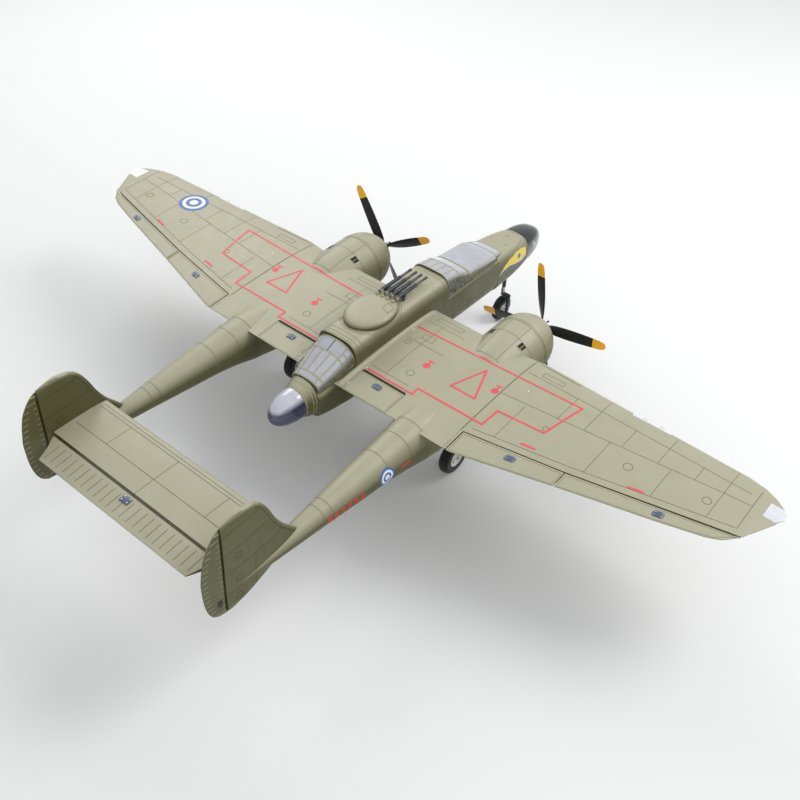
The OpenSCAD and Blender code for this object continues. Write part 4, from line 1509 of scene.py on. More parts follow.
    def art(self) -> None:
        """A plain two-colour sweep along each side of the nose, and pale strokes on the radome."""
        shape = Shaper("nose_side_sweep")
        for side in Side:
            flank = HullFlank(self.hull, side)
            upper = [(540, -22), (520, -16), (496, -14), (470, -16), (446, -24), (430, -38)]
            lower = [(540, -44), (520, -46), (496, -42), (470, -34), (446, -34), (430, -40)]
            rows = []
            for (fa, za), (fb, zb) in zip(upper, lower):
                rows.append([flank.lifted(fa + (fb - fa) * t / 6, za + (zb - za) * t / 6, 0.28 * MM)
                             for t in range(7)])
            shape.sheet(rows, paint=0)
            shape.ribbon(flank, [(538, -48), (500, -48), (464, -40), (436, -42)], 4.0, lift=0.3, paint=1)
            shape.disc(flank, (508, -28), 6.0, lift=0.4, paint=1)
        put(shape, [PAINTS.yellow, PAINTS.blue], "airframe", "olive_foam")
        shape = Shaper("radome_strokes")
        for side in Side:
            for shift, long in ((0, 12), (7, 9), (14, 6)):
                rows = []
                for i in range(9):
                    a = math.radians(14 + i * long / 8)
                    k = math.cos(a) ** 0.85
                    f = 552.1 + 84 * math.sin(a)
                    hull = HullSkin(tuple((f + d, 38 * k + 0.25, 37.5 * k - 45.3, -45.3 - 37.5 * k,
                                           2 + 0.7 * k) for d in (0, 1)))
                    rows.append([hull.point(f, 90 - side.value * (90 - 10 - shift - w))
                                 for w in (0, 1.3, 2.6)])
                shape.sheet(rows)
        put(shape, [PAINTS.white], "airframe", "black_radome")

    def build(self) -> None:
        """Builds the whole pod."""
        self.shell()
        self.hatch()
        self.cones()
        self.turret()
        self.lines()
        self.art()


# ---- Canopies -----------------------------------------------------------------------------


@dataclass
class Canopy:
    """One clear hood with its frames: panes are crossed at some stations and along some angles."""

    name: str
    body: str
    skin: HoodSkin
    node: str
    hoops: tuple[float, ...]
    rails: tuple[tuple[float, float, float], ...]
    uprights: tuple[tuple[float, float, float], ...] = ()
    bulkhead: int = 0
    hoop_mm: float = 2.6
    stand_mm: float = 0.35

    @property
    def ends(self) -> Point:
        """Rear and front station of the hood."""
        stations = [r[0] for r in self.skin.form]
        return min(stations), max(stations)

    def pane(self, shape: Shaper) -> None:
        """The clear sheet, one wall thick, closed at its ends."""
        rear, front = self.ends
        knots = [r[0] for r in self.skin.form]
        rows = []
        for f in sorted({*steps(rear, front, 8), *knots}):
            rows.append([self.skin.point(f, a) for a in steps(0.01, 179.99, 5)])
        shape.sheet(rows)
        for f, paint in ((rear, self.bulkhead), (front, 0)):
            arch = [self.skin.point(f, a) for a in steps(0.01, 179.99, 5)]
            foot = self.skin.inside(f, 90).z
            shape.sheet([arch, [Vector((p.x, p.y, foot)) for p in arch]], paint=paint)

    def build(self) -> None:
        """Builds the hood and its frames."""
        shape = Shaper(f"{self.name}_glazing")
        self.pane(shape)
        put(shape, [PAINTS.milky, PAINTS.olive], self.body, "clear_plastic", self.node, angle=28)
        frame = Shaper(f"{self.name}_frames")
        high = self.stand_mm
        for f in self.hoops:
            frame.ribbon(self.skin, [(f, a) for a in steps(4, 176, 4)], self.hoop_mm, lift=high)
        for angle, start, end in self.rails:
            for side_angle in (angle, 180 - angle):
                frame.ribbon(self.skin, [(f, side_angle) for f in steps(start, end, 8)], 2.2, lift=high)
        for f, a0, a1 in self.uprights:
            for mirror in (False, True):
                frame.ribbon(self.skin, [(f, 180 - a if mirror else a) for a in steps(a0, a1, 4)], 2.0,
                             lift=high)
        rear, front = self.ends
        for angle in (3.5, 176.5):
            frame.ribbon(self.skin, [(f, angle) for f in steps(rear + 1.5, front - 1.5, 8)], 4.2,
                         lift=high)
        bmesh.ops.solidify(frame.bm, geom=frame.bm.faces[:], thickness=0.9 * MM)
        put(frame, [PAINTS.olive], self.body, "olive_foam")


def canopies() -> list[Canopy]:
    """The pilot's, the gunner's and the rear canopy, on the sections the frame has."""
    pilot = HoodSkin(((318, 46, 32, 4), (406, 45, 21, 4), (422, 39, 17.5, 4), (436, 35, 12, 4),
                      (450, 30, 7.5, 4)))
    gunner = HoodSkin(((244, 46, 54, 4), (286, 46, 45.5, 4), (317, 46, 32.4, 4)))
    rear = HoodSkin(((-120.5, 34, 7, -11.6), (-70, 43, 31, 0.1), (-36.1, 46, 46.5, 8.1)), 2.5)
    return [
        Canopy("pilot", "hatch", pilot, "pilot_canopy", hoops=(319.5, 421, 448.5),
               rails=((30, 320, 421), (42, 320, 448), (13, 326, 410)),
               uprights=tuple((f, 4, 30) for f in (334, 351, 368, 385, 402))),
        Canopy("gunner", "hatch", gunner, "gunner_canopy", hoops=(245.5, 286, 315.5),
               rails=((45, 246, 316), (60, 246, 284), (80, 246, 284)),
               uprights=((268, 4, 45), (300, 4, 45)), bulkhead=1),
        Canopy("rear", "airframe", rear, "rear_canopy", hoops=(-37.4, -62, -108, -119.5),
               rails=((54, -119, -38), (78, -108, -62), (90, -62, -38), (30, -104, -38)),
               uprights=((-50, 30, 54), (-84, 4, 30))),
    ]


@dataclass
class Cockpit:
    """Dark floor, seats and boxes seen through the glazing."""

    def build(self) -> None:
        """Builds both crew stations on the hatch."""
        tub = Shaper("cockpit_tub")
        tub.box(DATUM.at(-43, 420, 3.4), DATUM.at(43, 246, 4.6), 0, 0.2)
        tub.box(DATUM.at(-28, 446, 3.4), DATUM.at(28, 418, 4.6), 0, 0.2)
        for f in (372, 300):
            tub.box(DATUM.at(-12, f - 4, 5), DATUM.at(12, f - 26, 11), 1, 2.5)
            tub.box(DATUM.at(-12, f - 24, 6), DATUM.at(12, f - 31, 19), 1, 2.5)
            for x in (-8, 8):
                tub.box(DATUM.at(x - 1.5, f - 8, 11), DATUM.at(x + 1.5, f - 23, 12), 2, 0.4)
        tub.box(DATUM.at(-30, 398, 5), DATUM.at(30, 384, 16), 1, 3.0)
        tub.box(DATUM.at(-32, 322, 5), DATUM.at(32, 312, 24), 1, 3.0)
        for x in (-18, -6, 6, 18):
            tub.rod(DATUM.at(x, 384.2, 11), DATUM.at(x, 383.4, 11), 3.6, paint=2, sides=20)
        for s in (-1, 1):
            tub.box(DATUM.at(s * 36 - 4, 376, 5), DATUM.at(s * 36 + 4, 330, 14), 1, 1.5)
        put(tub, [PAINTS.cockpit, PAINTS.black, PAINTS.ridge], "hatch", "black_plastic", angle=40)


# ---- Nacelles, booms and cowls --------------------------------------------------------------


NACELLE: Table = (
    (268, 61, 20, -102, 2), (215, 62, 20, -103, 2), (170, 60, 15, -104, 2), (120, 53, 4, -104, 2.2),
    (60, 45, -2, -103, 2.4), (0, 44, 1, -101, 2.4), (-75, 42, 5, -91, 2.2),
)
BOOM: Table = (
    (-75, 42, 5, -91, 2.2), (-110, 39, 3, -82, 2.1), (-160, 35, -1, -73, 2), (-240, 29, -7, -65, 2),
    (-330, 21, -15, -57, 2), (-380, 17, -19, -53, 2), (-440, 12, -24, -48, 2), (-505, 6, -30, -42, 2),
)


@dataclass
class Engine:
    """One nacelle with its cowl, motor bay, propeller and boom."""

    side: Side
    reach: float = 210.0
    axis: float = -41.0
    prop: float = 348.0
    radius: float = 145.0
    hub: float = 9.0
    pitch: float = 16.0
    tip_share: float = 0.79
    rest_turn: float = -10.1
    count: int = 96

    @property
    def x(self) -> float:
        """Spanwise place of the axis."""
        return self.side.value * self.reach

    def place(self, x: float, f: float, z: float) -> Vector:
        """A point beside this engine's axis, mirrored with its side."""
        return DATUM.at(self.side.value * (self.reach + x), f, z)

    def wheel_bay(self, obj: bpy.types.Object) -> None:
        """Cuts the room of the folded main wheel out of a skin."""
        low, high = sorted((self.side.value * (self.reach - 22), self.side.value * (self.reach + 16)))
        Shaper.carve(obj, DATUM.at(low, 84, -130), DATUM.at(high, -102, -19.3))

    def circle(self, f: float, radius: float) -> list[Vector]:
        """A ring of points round the shaft at a station."""
        turns = (math.tau * j / self.count for j in range(self.count))
        return [DATUM.at(self.x - radius * math.cos(t), f, self.axis + radius * math.sin(t))
                for t in turns]

    def nacelle(self) -> None:
        """The nacelle with its open motor bay and wheel bay."""
        hull = HullSkin(NACELLE, self.x)
        rows = [hull.ring(f, self.count) for f in steps(-75, 268, 7)]
        rows += [self.circle(268.05, 58.6), self.circle(268, 40), self.circle(212, 40)]
        shape = Shaper(f"nacelle_skin_{self.side.word}")
        shape.sheet(rows, around=True, closed=True)
        self.wheel_bay(put(shape, [PAINTS.olive], "airframe", "olive_foam",
                           f"nacelle_{self.side.word}", angle=35))

    def boom(self) -> None:
        """The boom back to the fin's root."""
        hull = HullSkin(BOOM, self.x)
        shape = Shaper(f"boom_skin_{self.side.word}")
        shape.sheet([hull.ring(f, self.count) for f in steps(-330, -75.05, 7)], around=True, closed=True)
        self.wheel_bay(put(shape, [PAINTS.deck], "airframe", "olive_foam",
                           f"boom_{self.side.word}", angle=35))

    def cowl(self, shape: Shaper) -> None:
        """The engine cowl, a thin shell that curls into the intake."""
        outer = ((268.1, 61.5), (276, 60.9), (285, 60), (293, 58.2), (301, 55.5), (308, 52.3), (315, 48),
                 (321, 43.6), (326, 39), (329.5, 35.4), (332, 32), (333.5, 29.6), (334, 27))
        inner = ((333.4, 26.2), (331, 26), (327, 31), (323, 36), (312, 45), (299, 52.5), (284, 57),
                 (268.1, 58.5))
        profile = [(r, f - 268.1) for f, r in outer + inner + (outer[0],)]
        shape.lathe(profile, DATUM.at(self.x, 268.1, self.axis), Vector((0, -1, 0)), count=96)

    def lines(self) -> None:
        """Panel rings, side vents, doors, caps and the boom's marks."""
        shape = Shaper(f"engine_lines_{self.side.word}")
        marks = Shaper(f"boom_marks_{self.side.word}")
        front, back = HullSkin(NACELLE, self.x), HullSkin(BOOM, self.x)
        for f in (264, 222):
            shape.ribbon(front, [(f, a) for a in steps(0, 356, 4)], 0.95, lift=0.2, loop=True)
        shape.ribbon(front, [(150, a) for a in steps(24, 156, 4)], 0.85, lift=0.2)
        for f in (-78, -118, -172, -300, -318):
            shape.ribbon(back, [(f, a) for a in steps(-30, 210, 4)], 0.95, lift=0.2)
        for angle in (70, 110):
            shape.ribbon(front, [(f, angle) for f in steps(262, 152, 8)], 0.85, lift=0.2)
        for angle in (0.5, 179.5):
            shape.ribbon(back, [(f, angle) for f in steps(-80, -318, 8)], 0.8, lift=0.2)
        vents = Shaper(f"engine_side_vents_{self.side.word}")
        for side in Side:
            flank = HullFlank(front, side)
            outline = [(222, 5), (206, 5), (204, 13), (222, 13)]
            vents.patch(flank, outline, lift=0.25)
            vents.ribbon(flank, outline, 1.4, lift=0.6, paint=1, loop=True)
            vents.ribbon(flank, [(221, 9), (205, 9)], 1.0, lift=0.5, paint=1)
        put(vents, [PAINTS.gap, PAINTS.olive], "airframe", "olive_foam")
        for side in Side:
            flank = HullFlank(back, side)
            shape.ribbon(flank, [(-92, -52), (-150, -50), (-150, -66), (-92, -74)], 0.7, lift=0.2,
                         loop=True)
            shape.disc(flank, (-176, -36), 4.0, 3.3, lift=0.2)
            shape.disc(flank, (-232, -34), 3.2, 2.5, lift=0.2)
        flank = HullFlank(back, self.side)
        for k in range(6):
            f, z = -232 - k * 14.5, -35.5
            marks.patch(flank, [(f, z - 5.5), (f - 8, z - 5.5), (f - 8, z + 5.5), (f, z + 5.5)], 0.24)
            marks.patch(flank, [(f - 3, z - 2.2), (f - 5, z - 2.2), (f - 5, z + 2.2), (f - 3, z + 2.2)],
                        0.34, paint=1)
        marks.ribbon(flank, [(-122, -34), (-146, -34)], 4.2, lift=0.24)
        put(shape, [PAINTS.groove], "airframe", "olive_foam")
        put(marks, [PAINTS.blood, PAINTS.deck], "airframe", "olive_foam")

    def badge(self) -> None:
        """The round badge on the boom's outer side."""
        flank = HullFlank(HullSkin(BOOM, self.x), self.side)
        WING.badge(f"boom_badge_{self.side.word}", flank, (-178, -34), 17.0)

    def blade_ring(self, share: float, count: int = 28) -> list[Vector]:
        """A blade's section at a share of its length, beside the axis, in mm."""
        r = self.hub - 2 + share * (self.radius - self.hub + 2)
        wide = 1 - 5.5 * (share - 0.9) if share > 0.9 else 1
        chord = 9 + 13 * math.sin(math.radians(20 + 125 * share**0.8)) * wide
        if share > 0.965:
            chord *= math.sqrt(max(0.0, 1 - ((share - 0.965) / 0.0355) ** 2))
        thick = 4 * (1 - 0.75 * share)
        turn = math.atan2(self.pitch, 0.62 * r) * 0.9
        out = []
        for i in range(count):
            a = math.tau * i / count
            p = chord / 2 * math.cos(a)
            q = thick / 2 * math.sin(a) * (0.75 + 0.25 * math.cos(a))
            out.append(Vector((p * math.cos(turn) - q * math.sin(turn),
                               p * math.sin(turn) + q * math.cos(turn), r)))
        return out

    def propeller(self) -> None:
        """Four broad blades with yellow tips on a turned hub."""
        shape = Shaper(f"propeller_blades_{self.side.word}")
        for k in range(4):
            turn = math.radians(self.rest_turn + 90 * k)

            def spot(p: Vector, turn: float = turn) -> Vector:
                """Turns a blade's point round the shaft."""
                return self.place(p.x * math.cos(turn) + p.z * math.sin(turn), self.prop - p.y,
                                  self.axis - p.x * math.sin(turn) + p.z * math.cos(turn))

            shares = [self.tip_share * i / 26 for i in range(27)]
            shape.sheet([[spot(p) for p in self.blade_ring(u)] for u in shares], around=True, closed=True)
            shares = [self.tip_share + (1 - self.tip_share) * math.sin(math.pi / 2 * i / 16)
                      for i in range(17)]
            shape.sheet([[spot(p) for p in self.blade_ring(u)] for u in shares], around=True,
                        closed=True, paint=1)
        shape.lathe([(2.6, -5), (8.4, -5), (9, -4.4), (9, 5.2), (8.2, 6), (2.6, 6), (2.6, -5)],
                    self.place(0, self.prop, self.axis), Vector((0, -1, 0)))
        for k in range(4):
            turn = math.radians(self.rest_turn + 90 * k)
            low = self.place(8 * math.sin(turn), self.prop, self.axis + 8 * math.cos(turn))
            high = self.place(15 * math.sin(turn), self.prop, self.axis + 15 * math.cos(turn))
            shape.rod(low, high, 4.6, 3.6, sides=28, round_mm=0.5)
        body = f"propeller_{self.side.word}"
        put(shape, [PAINTS.black, PAINTS.tip], body, "black_plastic", body, angle=50)
        nut = Shaper(f"propeller_nut_dome_{self.side.word}")
        here = self.place(0, self.prop + 6, self.axis)
        nut.rod(here, here + Vector((0, -5, 0)) * MM, 5.0, sides=6, round_mm=0.5)
        nut.lathe([(2.6, 4.8), (4.6, 4.8), (4.5, 7), (4.1, 8.8), (3.4, 10), (2.6, 10)], here,
                  Vector((0, -1, 0)), count=32)
        put(nut, [PAINTS.silver], body, "bright_metal", f"prop_nut_{self.side.word}", angle=40)

    def windings(self) -> None:
        """Copper windings on the stator, seen through the intake."""
        shape = Shaper(f"motor_windings_{self.side.word}")
        for k in range(12):
            a = math.tau * k / 12
            mid = self.place(10.5 * math.cos(a), 297, self.axis + 10.5 * math.sin(a))
            shape.ball(mid, 2.2)
        put(shape, [PAINTS.copper], "airframe", "motor_metal")

    def build(self) -> None:
        """Builds the engine and its boom."""
        self.nacelle()
        self.boom()
        self.lines()
        self.badge()
        self.propeller()
        self.windings()


# ---- Tail ---------------------------------------------------------------------------------


@dataclass
class Tail:
    """Fins with their rudders, the stabilizer between them and the elevator."""

    line: Point = (-520.0, -514.0)
    low: float = -74.0
    high: float = 112.0
    gap: float = 0.8
    bevel: float = 33.0
    hinge: float = -506.0
    reach: float = 208.0

    def rudder_f(self, z: float) -> float:
        """Station of the rudder's hinge line at a height."""
        return self.line[0] + (self.line[1] - self.line[0]) * (z - self.low) / (self.high - self.low)

    def section(self, skin: FinSkin, z: float, front: float, rear: float, sharp: bool = False,
                count: int = 26) -> list[Vector]:
        """One closed section of a fin or rudder."""
        out = []
        nose = front - skin.half(z, front) * math.tan(math.radians(self.bevel)) if sharp else front
        spread = eased(nose, rear, count)
        for f in reversed(spread):
            out.append(skin.place(z, f, skin.half(z, f)))
        if sharp:
            out.append(skin.place(z, front, 0.0))
        for f in spread:
            out.append(skin.place(z, f, -skin.half(z, f)))
        return out

    def fin(self, side: Side) -> None:
        """One fin on the end of its boom, with the balance tip over the rudder."""
        skin = FinSkin(side)
        lead, trail = skin.lead, skin.trail
        shape = Shaper(f"fin_skin_{side.word}")
        shape.sheet([self.section(skin, z, lead(z), trail(z)) for z in (-75, self.low)],
                    around=True, closed=True)
        shape.sheet([self.section(skin, z, lead(z), self.rudder_f(z) + 1.2)
                     for z in steps(self.low, self.high, 5)],
                    around=True, closed=True)
        shape.sheet([self.section(skin, z, lead(z), trail(z)) for z in steps(self.high, 118, 1.5)],
                    around=True, closed=True)
        hull = HullSkin(BOOM, side.value * 210)
        shape.sheet([hull.ring(f, 72) for f in steps(-505, -330.05, 7)], around=True, closed=True)
        put(shape, [PAINTS.deck], "airframe", "olive_foam", f"fin_{side.word}")
        rudder = Shaper(f"rudder_skin_{side.word}")
        top = self.high - 0.8
        rudder.sheet([self.section(skin, z, self.rudder_f(z) - self.gap, trail(z), sharp=True)
                      for z in steps(self.low + 0.8, top, 5)], around=True, closed=True)
        put(rudder, [PAINTS.deck], f"rudder_{side.word}", "olive_foam", f"rudder_{side.word}")
        self.fin_lines(side)

    def fin_lines(self, side: Side) -> None:
        """Panel lines on the fin, a painted shade in the rudder's hinge gap, ribs on the rudder with a
        painted highlight, and the rudder's horn.
        """
        fixed, moving = Shaper(f"fin_lines_{side.word}"), Shaper(f"rudder_ribs_{side.word}")
        for outer in (True, False):
            skin = FinSkin(side, outer)
            lead, trail = skin.lead, skin.trail
            for z in (-40, 8, 52, 92):
                fixed.ribbon(skin, [(z + 6, lead(z + 6) - 8), (z, self.rudder_f(z) + 3)], 0.9, lift=0.18)
            fixed.ribbon(skin, [(-60, -462), (8, -456)], 0.9, lift=0.18)
            fixed.ribbon(skin, [(z, lead(z) - 8) for z in steps(-24, 108, 8)], 0.9, lift=0.18)
            for z, f in ((-16, -490), (34, -488), (-56, -495)):
                fixed.disc(skin, (z, f), 7.0, 6.1, lift=0.18)
            # Rudder ribs in the pale olive of a painted highlight
            for z in steps(self.low + 8, self.high - 8, 12):
                near, far = self.rudder_f(z), trail(z)
                moving.ribbon(skin, [(z, far + 1.5), (z + 1, far + 11)], 1.2, lift=0.3)
                moving.ribbon(skin, [(z + 2, near - 4), (z + 1, near - 10)], 1.0, lift=0.3)
        skin = FinSkin(side)
        # Painted shade: a dark sheet on the fin's middle plane, in the rudder's hinge gap
        fixed.sheet([[skin.place(z, self.rudder_f(z) + d, 0.0) for d in (1.4, -1.6)]
                     for z in steps(self.low + 1, self.high - 2, 12)])
        put(fixed, [PAINTS.shade], "airframe", "olive_foam")
        put(moving, [PAINTS.ridge], f"rudder_{side.word}", "olive_foam")
        plate = Shaper(f"rudder_horn_plate_{side.word}")
        skin = FinSkin(side, True)
        z, f = -46, self.rudder_f(-46) - 11
        half = skin.half(z, f)
        a, b = skin.place(z - 7, f + 4.5, half - 0.8), skin.place(z + 7, f - 4.5, half + 1.0)
        plate.box(Vector(map(min, a, b)), Vector(map(max, a, b)), 0, 0.6)
        for shift in (-4, 4):
            foot = skin.place(z + shift, f, half + 0.9)
            plate.rod(foot, skin.place(z + shift, f, half + 1.6), 1.5, paint=1, sides=20, round_mm=0.2)
        put(plate, [PAINTS.black, PAINTS.blackened], f"rudder_{side.word}", "black_plastic")

    def plane(self, skin: TailSkin, xs: Sequence[float], front: float, rear: Callable[[float], float],
              sharp: bool) -> list[list[Vector]]:
        """Closed sections of the stabilizer or elevator across the span."""
        rows = []
        for x in xs:
            end = rear(x)
            nose = front - skin.half(front) * math.tan(math.radians(self.bevel)) if sharp else front
            spread = eased(nose, end, 22)
            row = [DATUM.at(x, f, skin.middle + skin.half(f)) for f in reversed(spread)]
            if sharp:
                row.append(DATUM.at(x, front, skin.middle))
            row += [DATUM.at(x, f, skin.middle - skin.half(f)) for f in spread]
            rows.append(row)
        return rows

    @staticmethod
    def elevator_rear(x: float) -> float:
        """Rear edge of the elevator, which runs forward at its ends beside the rudders."""
        outline = ((176, -556.5), (184, -534), (197, -513))
        return straight(outline, abs(x)) if abs(x) > 176 else -556.0

    def tailplane(self) -> None:
        """The stabilizer and the elevator."""
        skin = TailSkin()
        shape = Shaper("stabilizer_skin")
        shape.sheet(self.plane(skin, steps(-205.5, 205.5, 20), -396, level(self.hinge + 1.2), False),
                    around=True, closed=True)
        put(shape, [PAINTS.olive], "airframe", "olive_foam", "stabilizer")
        ends = [-197, -190.5, -184, -180, -176]
        shape = Shaper("elevator_skin")
        xs = ends + steps(-176, 176, 20)[1:-1] + [-x for x in reversed(ends)]
        shape.sheet(self.plane(skin, xs, self.hinge - self.gap, self.elevator_rear, True), around=True,
                    closed=True)
        put(shape, [PAINTS.olive], "elevator", "olive_foam", "elevator")
        lines, ribs = Shaper("stabilizer_lines"), Shaper("elevator_ribs")
        for upper in (True, False):
            skin = TailSkin(upper)
            for x, f0, f1 in ((-118, -414, -466), (118, -414, -466), (0, -414, -504)):
                lines.ribbon(skin, [(x, f0), (x, f1)], 0.95, lift=0.18)
            for f in (-407, -414, -466):
                lines.ribbon(skin, [(-198, f), (198, f)], 0.95, lift=0.18)
            for k in range(-11, 12):
                ribs.ribbon(skin, [(k * 15.6, -517), (k * 15.6, -549)], 0.95, lift=0.25)
        put(lines, [PAINTS.groove], "airframe", "olive_foam")
        put(ribs, [PAINTS.groove], "elevator", "olive_foam")
        plate = Shaper("elevator_horn_plate")
        top = TailSkin().half(-520) + 14
        plate.box(DATUM.at(-9.5, -514, top - 1.0), DATUM.at(9.5, -528, top + 1.0), 0, 0.9)
        for x, f in ((-6, -517), (6, -517), (-6, -525), (6, -525)):
            plate.rod(DATUM.at(x, f, top + 0.9), DATUM.at(x, f, top + 1.5), 1.5, paint=1, sides=20,
                      round_mm=0.2)
        put(plate, [PAINTS.horn, PAINTS.silver], "elevator", "horn_plastic")

    def build(self) -> None:
        """Builds the whole tail."""
        for side in Side:
            self.fin(side)
        self.tailplane()


# ---- Landing gear ---------------------------------------------------------------------------


@dataclass
class Leg:
    """One retracting leg with its wheel."""

    word: str
    body: str
    lower_body: str
    wheel_body: str
    nodes: tuple[str, ...]
    x: float
    pivot: Point
    knee: float
    axle: float
    diameter: float
    width: float
    rim: float
    mirror: int = 1

    def at(self, x: float, f: float, z: float) -> Vector:
        """A point beside the leg, mirrored with its side."""
        return DATUM.at(self.x + self.mirror * x, f, z)

    def box(self, shape: Shaper, low: tuple, high: tuple, paint: int, soft: float) -> None:
        """A rounded block between two corners given beside the leg."""
        a, b = self.at(*low), self.at(*high)
        shape.box(Vector(map(min, a, b)), Vector(map(max, a, b)), paint, soft)

    def rod(self, shape: Shaper, low: tuple, high: tuple, radius: float, **look: float) -> None:
        """A round bar between two points given beside the leg."""
        shape.rod(self.at(*low), self.at(*high), radius, **look)

    def strut(self) -> None:
        """The leg: trunnion, upper tube, sliding tube, scissor links and the one-sided arm."""
        f, pin = self.pivot
        steered = self.lower_body != self.body
        middle = (pin + self.knee) / 2
        shape = Shaper(f"{self.word}_upper")
        self.rod(shape, (-12.9, f, pin), (12.9, f, pin), 2.95, paint=1, round_mm=0.4)
        self.rod(shape, (-8.4, f, pin), (8.4, f, pin), 5.9, round_mm=0.8)
        low = Shaper(f"{self.word}_lower") if steered else shape
        self.rod(shape, (0, f, pin), (0, f, -120 if steered else middle), 4.45, round_mm=0.5)
        for z in ((-96, -110) if steered else (middle + 3, middle + 9)):
            self.rod(shape, (0, f, z - 1.6), (0, f, z + 1.6), 4.5, paint=1, round_mm=0.4)
        if steered:
            self.rod(low, (0, f, -132), (0, f, -100), 2.9, paint=1)
            self.rod(low, (0, f, -120.5), (0, f, -146), 4.45, round_mm=0.5)
            self.rod(low, (0, f, -146), (0, f, self.knee), 3.4, paint=1)
        else:
            self.rod(low, (0, f, middle), (0, f, self.knee), 3.4, paint=1)
        self.box(low, (-19.4, f - 3.9, self.knee - 6.9), (3.9, f + 3.9, self.knee), 0, 1.2)
        self.box(low, (-19.4, f - 3.9, self.axle - 4.9), (-13.1, f + 3.9, self.knee - 2), 0, 1.2)
        end = self.width / 2
        self.rod(low, (-17, f, self.axle), (end + 1.2, f, self.axle), 1.95, paint=1)
        self.rod(low, (end + 0.4, f, self.axle), (end + 2.4, f, self.axle), 3.4,
                 paint=1, sides=6, round_mm=0.3)
        for (back0, rise0), (back1, rise1) in (((3.6, 1), (8, 10)), ((8, 10), (3.6, 19))):
            self.rod(low, (0, f - back0, self.knee + rise0), (0, f - back1, self.knee + rise1), 1.3,
                     sides=16)
        finishes = [PAINTS.black, PAINTS.silver]
        put(shape, finishes, self.body, "black_metal", self.nodes[0], angle=40)
        if steered:
            put(low, finishes, self.lower_body, "black_metal", self.nodes[1], angle=40)

    def wheel(self) -> None:
        """Foam tyre with tread grooves on a moulded hub with lightening holes."""
        middle = self.at(0, self.pivot[0], self.axle)
        axis = Vector((1, 0, 0))
        outer, half = self.diameter / 2, self.width / 2
        profile = [(self.rim, -half + 1)]
        for i in range(25):
            a = math.radians(-90 + 7.5 * i)
            x, r = half * math.sin(a), outer - 7 + 7 * math.cos(a)
            if x == 0 or 3.0 < abs(x) < 4.2:
                r -= 0.9
            profile.append((r, x))
        profile += [(self.rim, half - 1), (self.rim, -half + 1)]
        tyre = Shaper(f"{self.word}_tyre_tread")
        tyre.lathe(profile, middle, axis, count=96)
        put(tyre, [PAINTS.tyre], self.wheel_body, "tyre_foam", self.nodes[-2], angle=40)
        hub = Shaper(f"{self.word}_hub_disc")
        w = half - 1
        hub.lathe([(2.1, -w), (4.6, -w), (5, -w + 0.5), (5, -w + 3.4), (self.rim - 3, -w + 4.4),
                   (self.rim - 2.2, -w + 0.4), (self.rim - 0.6, -w), (self.rim, -w + 0.6),
                   (self.rim, w - 0.6), (self.rim - 0.6, w), (self.rim - 2.2, w - 0.4),
                   (self.rim - 3, w - 4.4), (5, w - 3.4), (5, w - 0.5), (4.6, w), (2.1, w), (2.1, -w)],
                  middle, axis, count=72)
        for k in range(6):
            a = math.tau * k / 6
            spot = Vector((0, math.cos(a), math.sin(a))) * (self.rim * 0.58 * MM)
            for s in (-1, 1):
                foot = middle + spot + axis * (s * (w - 4.2) * MM)
                hub.rod(foot, foot + axis * s * 0.7 * MM, 2.1, paint=1, sides=20)
        put(hub, [PAINTS.hub, PAINTS.gap], self.wheel_body, "white_plastic", self.nodes[-1], angle=40)

    def build(self) -> None:
        """Builds the leg and its wheel."""
        self.strut()
        self.wheel()


def legs() -> list[Leg]:
    """The three legs, each of the sizes the frame has."""
    out = [Leg("nose_gear", "nose_leg", "nose_steering", "nose_wheel",
               ("nose_strut", "nose_fork", "nose_tyre", "nose_hub"),
               x=0.0, pivot=(534, -68), knee=-162, axle=-206, diameter=62, width=18, rim=15)]
    for side in Side:
        w = side.word
        out.append(Leg(f"main_gear_{w}", f"main_leg_{w}", f"main_leg_{w}", f"main_wheel_{w}",
                       (f"main_strut_{w}", f"main_tyre_{w}", f"main_hub_{w}"),
                       x=side.value * 210, pivot=(70, -70), knee=-150, axle=-199,
                       diameter=76, width=22, rim=20, mirror=side.value))
    return out


# ---- Scene --------------------------------------------------------------------------------


WING = Wing()

KEPT = {
    "main_spar": PAINTS.carbon, "motor_mounts": PAINTS.alloy, "motor_bell_left": PAINTS.bell,
    "motor_bell_right": PAINTS.bell, "speed_controls": PAINTS.wrap, "battery": PAINTS.wrap,
    "receiver": PAINTS.servo, "servos": PAINTS.servo, "retract_units": PAINTS.alloy,
    "wing_screws": PAINTS.silver,
}


def dress_kept(nodes: dict[str, bpy.types.Object]) -> None:
    """Gives the plain CAD nodes that stay in view their real finishes."""
    for name, finish in KEPT.items():
        for slot in nodes[name].material_slots:
            slot.material = finish.material()


LAMPS = (
    ("key_softbox", (-1.6, -2.0, 2.6), (0, 0, 0.2), 1.8, 52.0),
    ("rim_softbox", (2.2, -1.4, 2.0), (0, 0, 0.2), 1.6, 22.0),
    ("fill_softbox", (-1.8, 2.4, 2.0), (0, 0, 0.2), 2.0, 12.0),
)
CAMERA_SPOT = Vector((-0.9253, 1.0825, 1.4081))
CAMERA_AIM = Vector((-0.1605, 0.0848, 0.237))
CAMERA_ROLL = math.radians(2.9215)
LENS_MM = 43.525


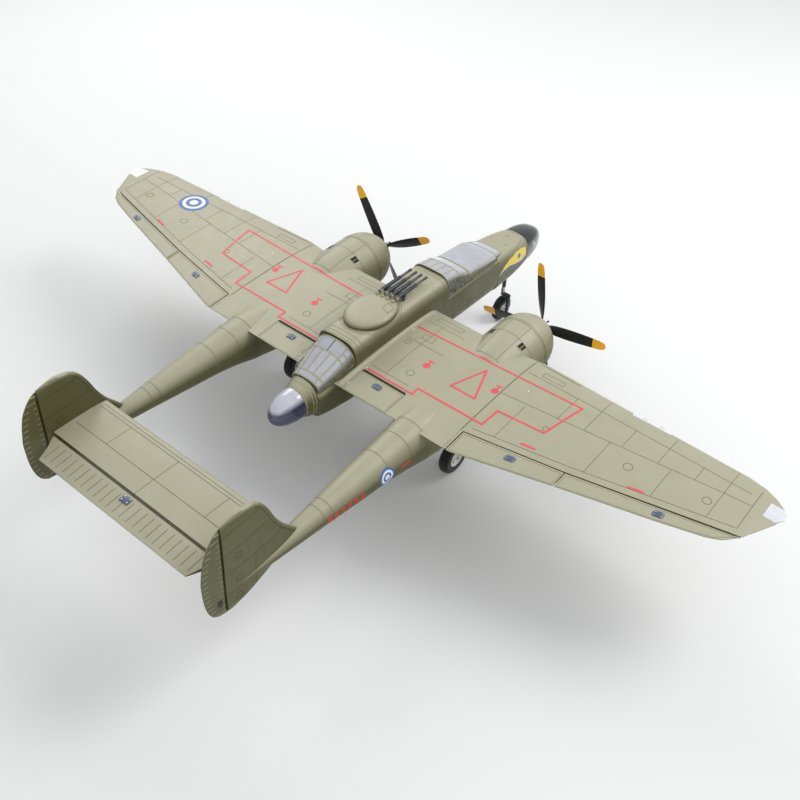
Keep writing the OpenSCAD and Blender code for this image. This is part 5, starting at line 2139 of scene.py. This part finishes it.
def light_up() -> None:
    """Lights the room from all round and from three soft lamps of (name, spot, aim, size, power)."""
    world = bpy.data.worlds.new("soft_room")
    bpy.context.scene.world = world
    world.use_nodes = True
    world.node_tree.nodes["Background"].inputs["Color"].default_value = linear("#F2F4F6")
    world.node_tree.nodes["Background"].inputs["Strength"].default_value = 0.75
    for name, spot, aim, size, power in LAMPS:
        light = bpy.data.lights.new(name, "AREA")
        light.shape, light.size, light.energy = "DISK", size, power
        lamp = bpy.data.objects.new(name, light)
        lamp.location = spot
        lamp.rotation_euler = (Vector(aim) - Vector(spot)).to_track_quat("-Z", "Y").to_euler()
        bpy.context.scene.collection.objects.link(lamp)


def studio() -> None:
    """Plain pale floor, broad soft lights and the camera."""
    floor = Shaper("studio_floor")
    bmesh.ops.create_grid(floor.bm, x_segments=4, y_segments=4, size=30.0)
    obj = floor.object([Finish("matte_white_studio_floor", "#EDEDEC", 0.95, mottle=0.004,
                               relief_mm=0.001)])
    obj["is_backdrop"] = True
    light_up()
    data = bpy.data.cameras.new("view")
    data.lens, data.sensor_width = LENS_MM, 36.0
    data.clip_start, data.clip_end = 0.05, 100.0
    camera = bpy.data.objects.new("view", data)
    ahead = (CAMERA_AIM - CAMERA_SPOT).normalized()
    right = ahead.cross(Vector((0, 0, 1))).normalized()
    up = right.cross(ahead)
    across = right * math.cos(CAMERA_ROLL) + up * math.sin(CAMERA_ROLL)
    above = up * math.cos(CAMERA_ROLL) - right * math.sin(CAMERA_ROLL)
    turn = Matrix((across, above, -ahead)).transposed()
    camera.matrix_world = Matrix.Translation(CAMERA_SPOT) @ turn.to_4x4()
    bpy.context.scene.collection.objects.link(camera)
    bpy.context.scene.camera = camera
    bpy.context.scene.view_settings.view_transform = "Standard"


def log_size(before: tuple, after: tuple) -> None:
    boxes = {word: [[round(v, 5) for v in corner] for corner in pair]
             for word, pair in (("cad", before), ("visual", after))}


def main() -> None:
    """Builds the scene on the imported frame."""
    logging.basicConfig(level=logging.INFO)
    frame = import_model()
    LOG.info("the packed frame has %d nodes", len(frame["nodes"]))
    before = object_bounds()
    WING.build()
    Pod().build()
    for canopy in canopies():
        canopy.build()
    Cockpit().build()
    for side in Side:
        Engine(side, rest_turn=30.9 if side is Side.LEFT else -10.1).build()
    cowls = Shaper("engine_cowl_shells")
    for side in Side:
        Engine(side).cowl(cowls)
    put(cowls, [PAINTS.olive], "airframe", "olive_foam", "engine_cowls", angle=50)
    Tail().build()
    for leg in legs():
        leg.build()
    dress_kept(frame["nodes"])
    studio()
    log_size(before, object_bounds())


if __name__ == "__main__":
    main()
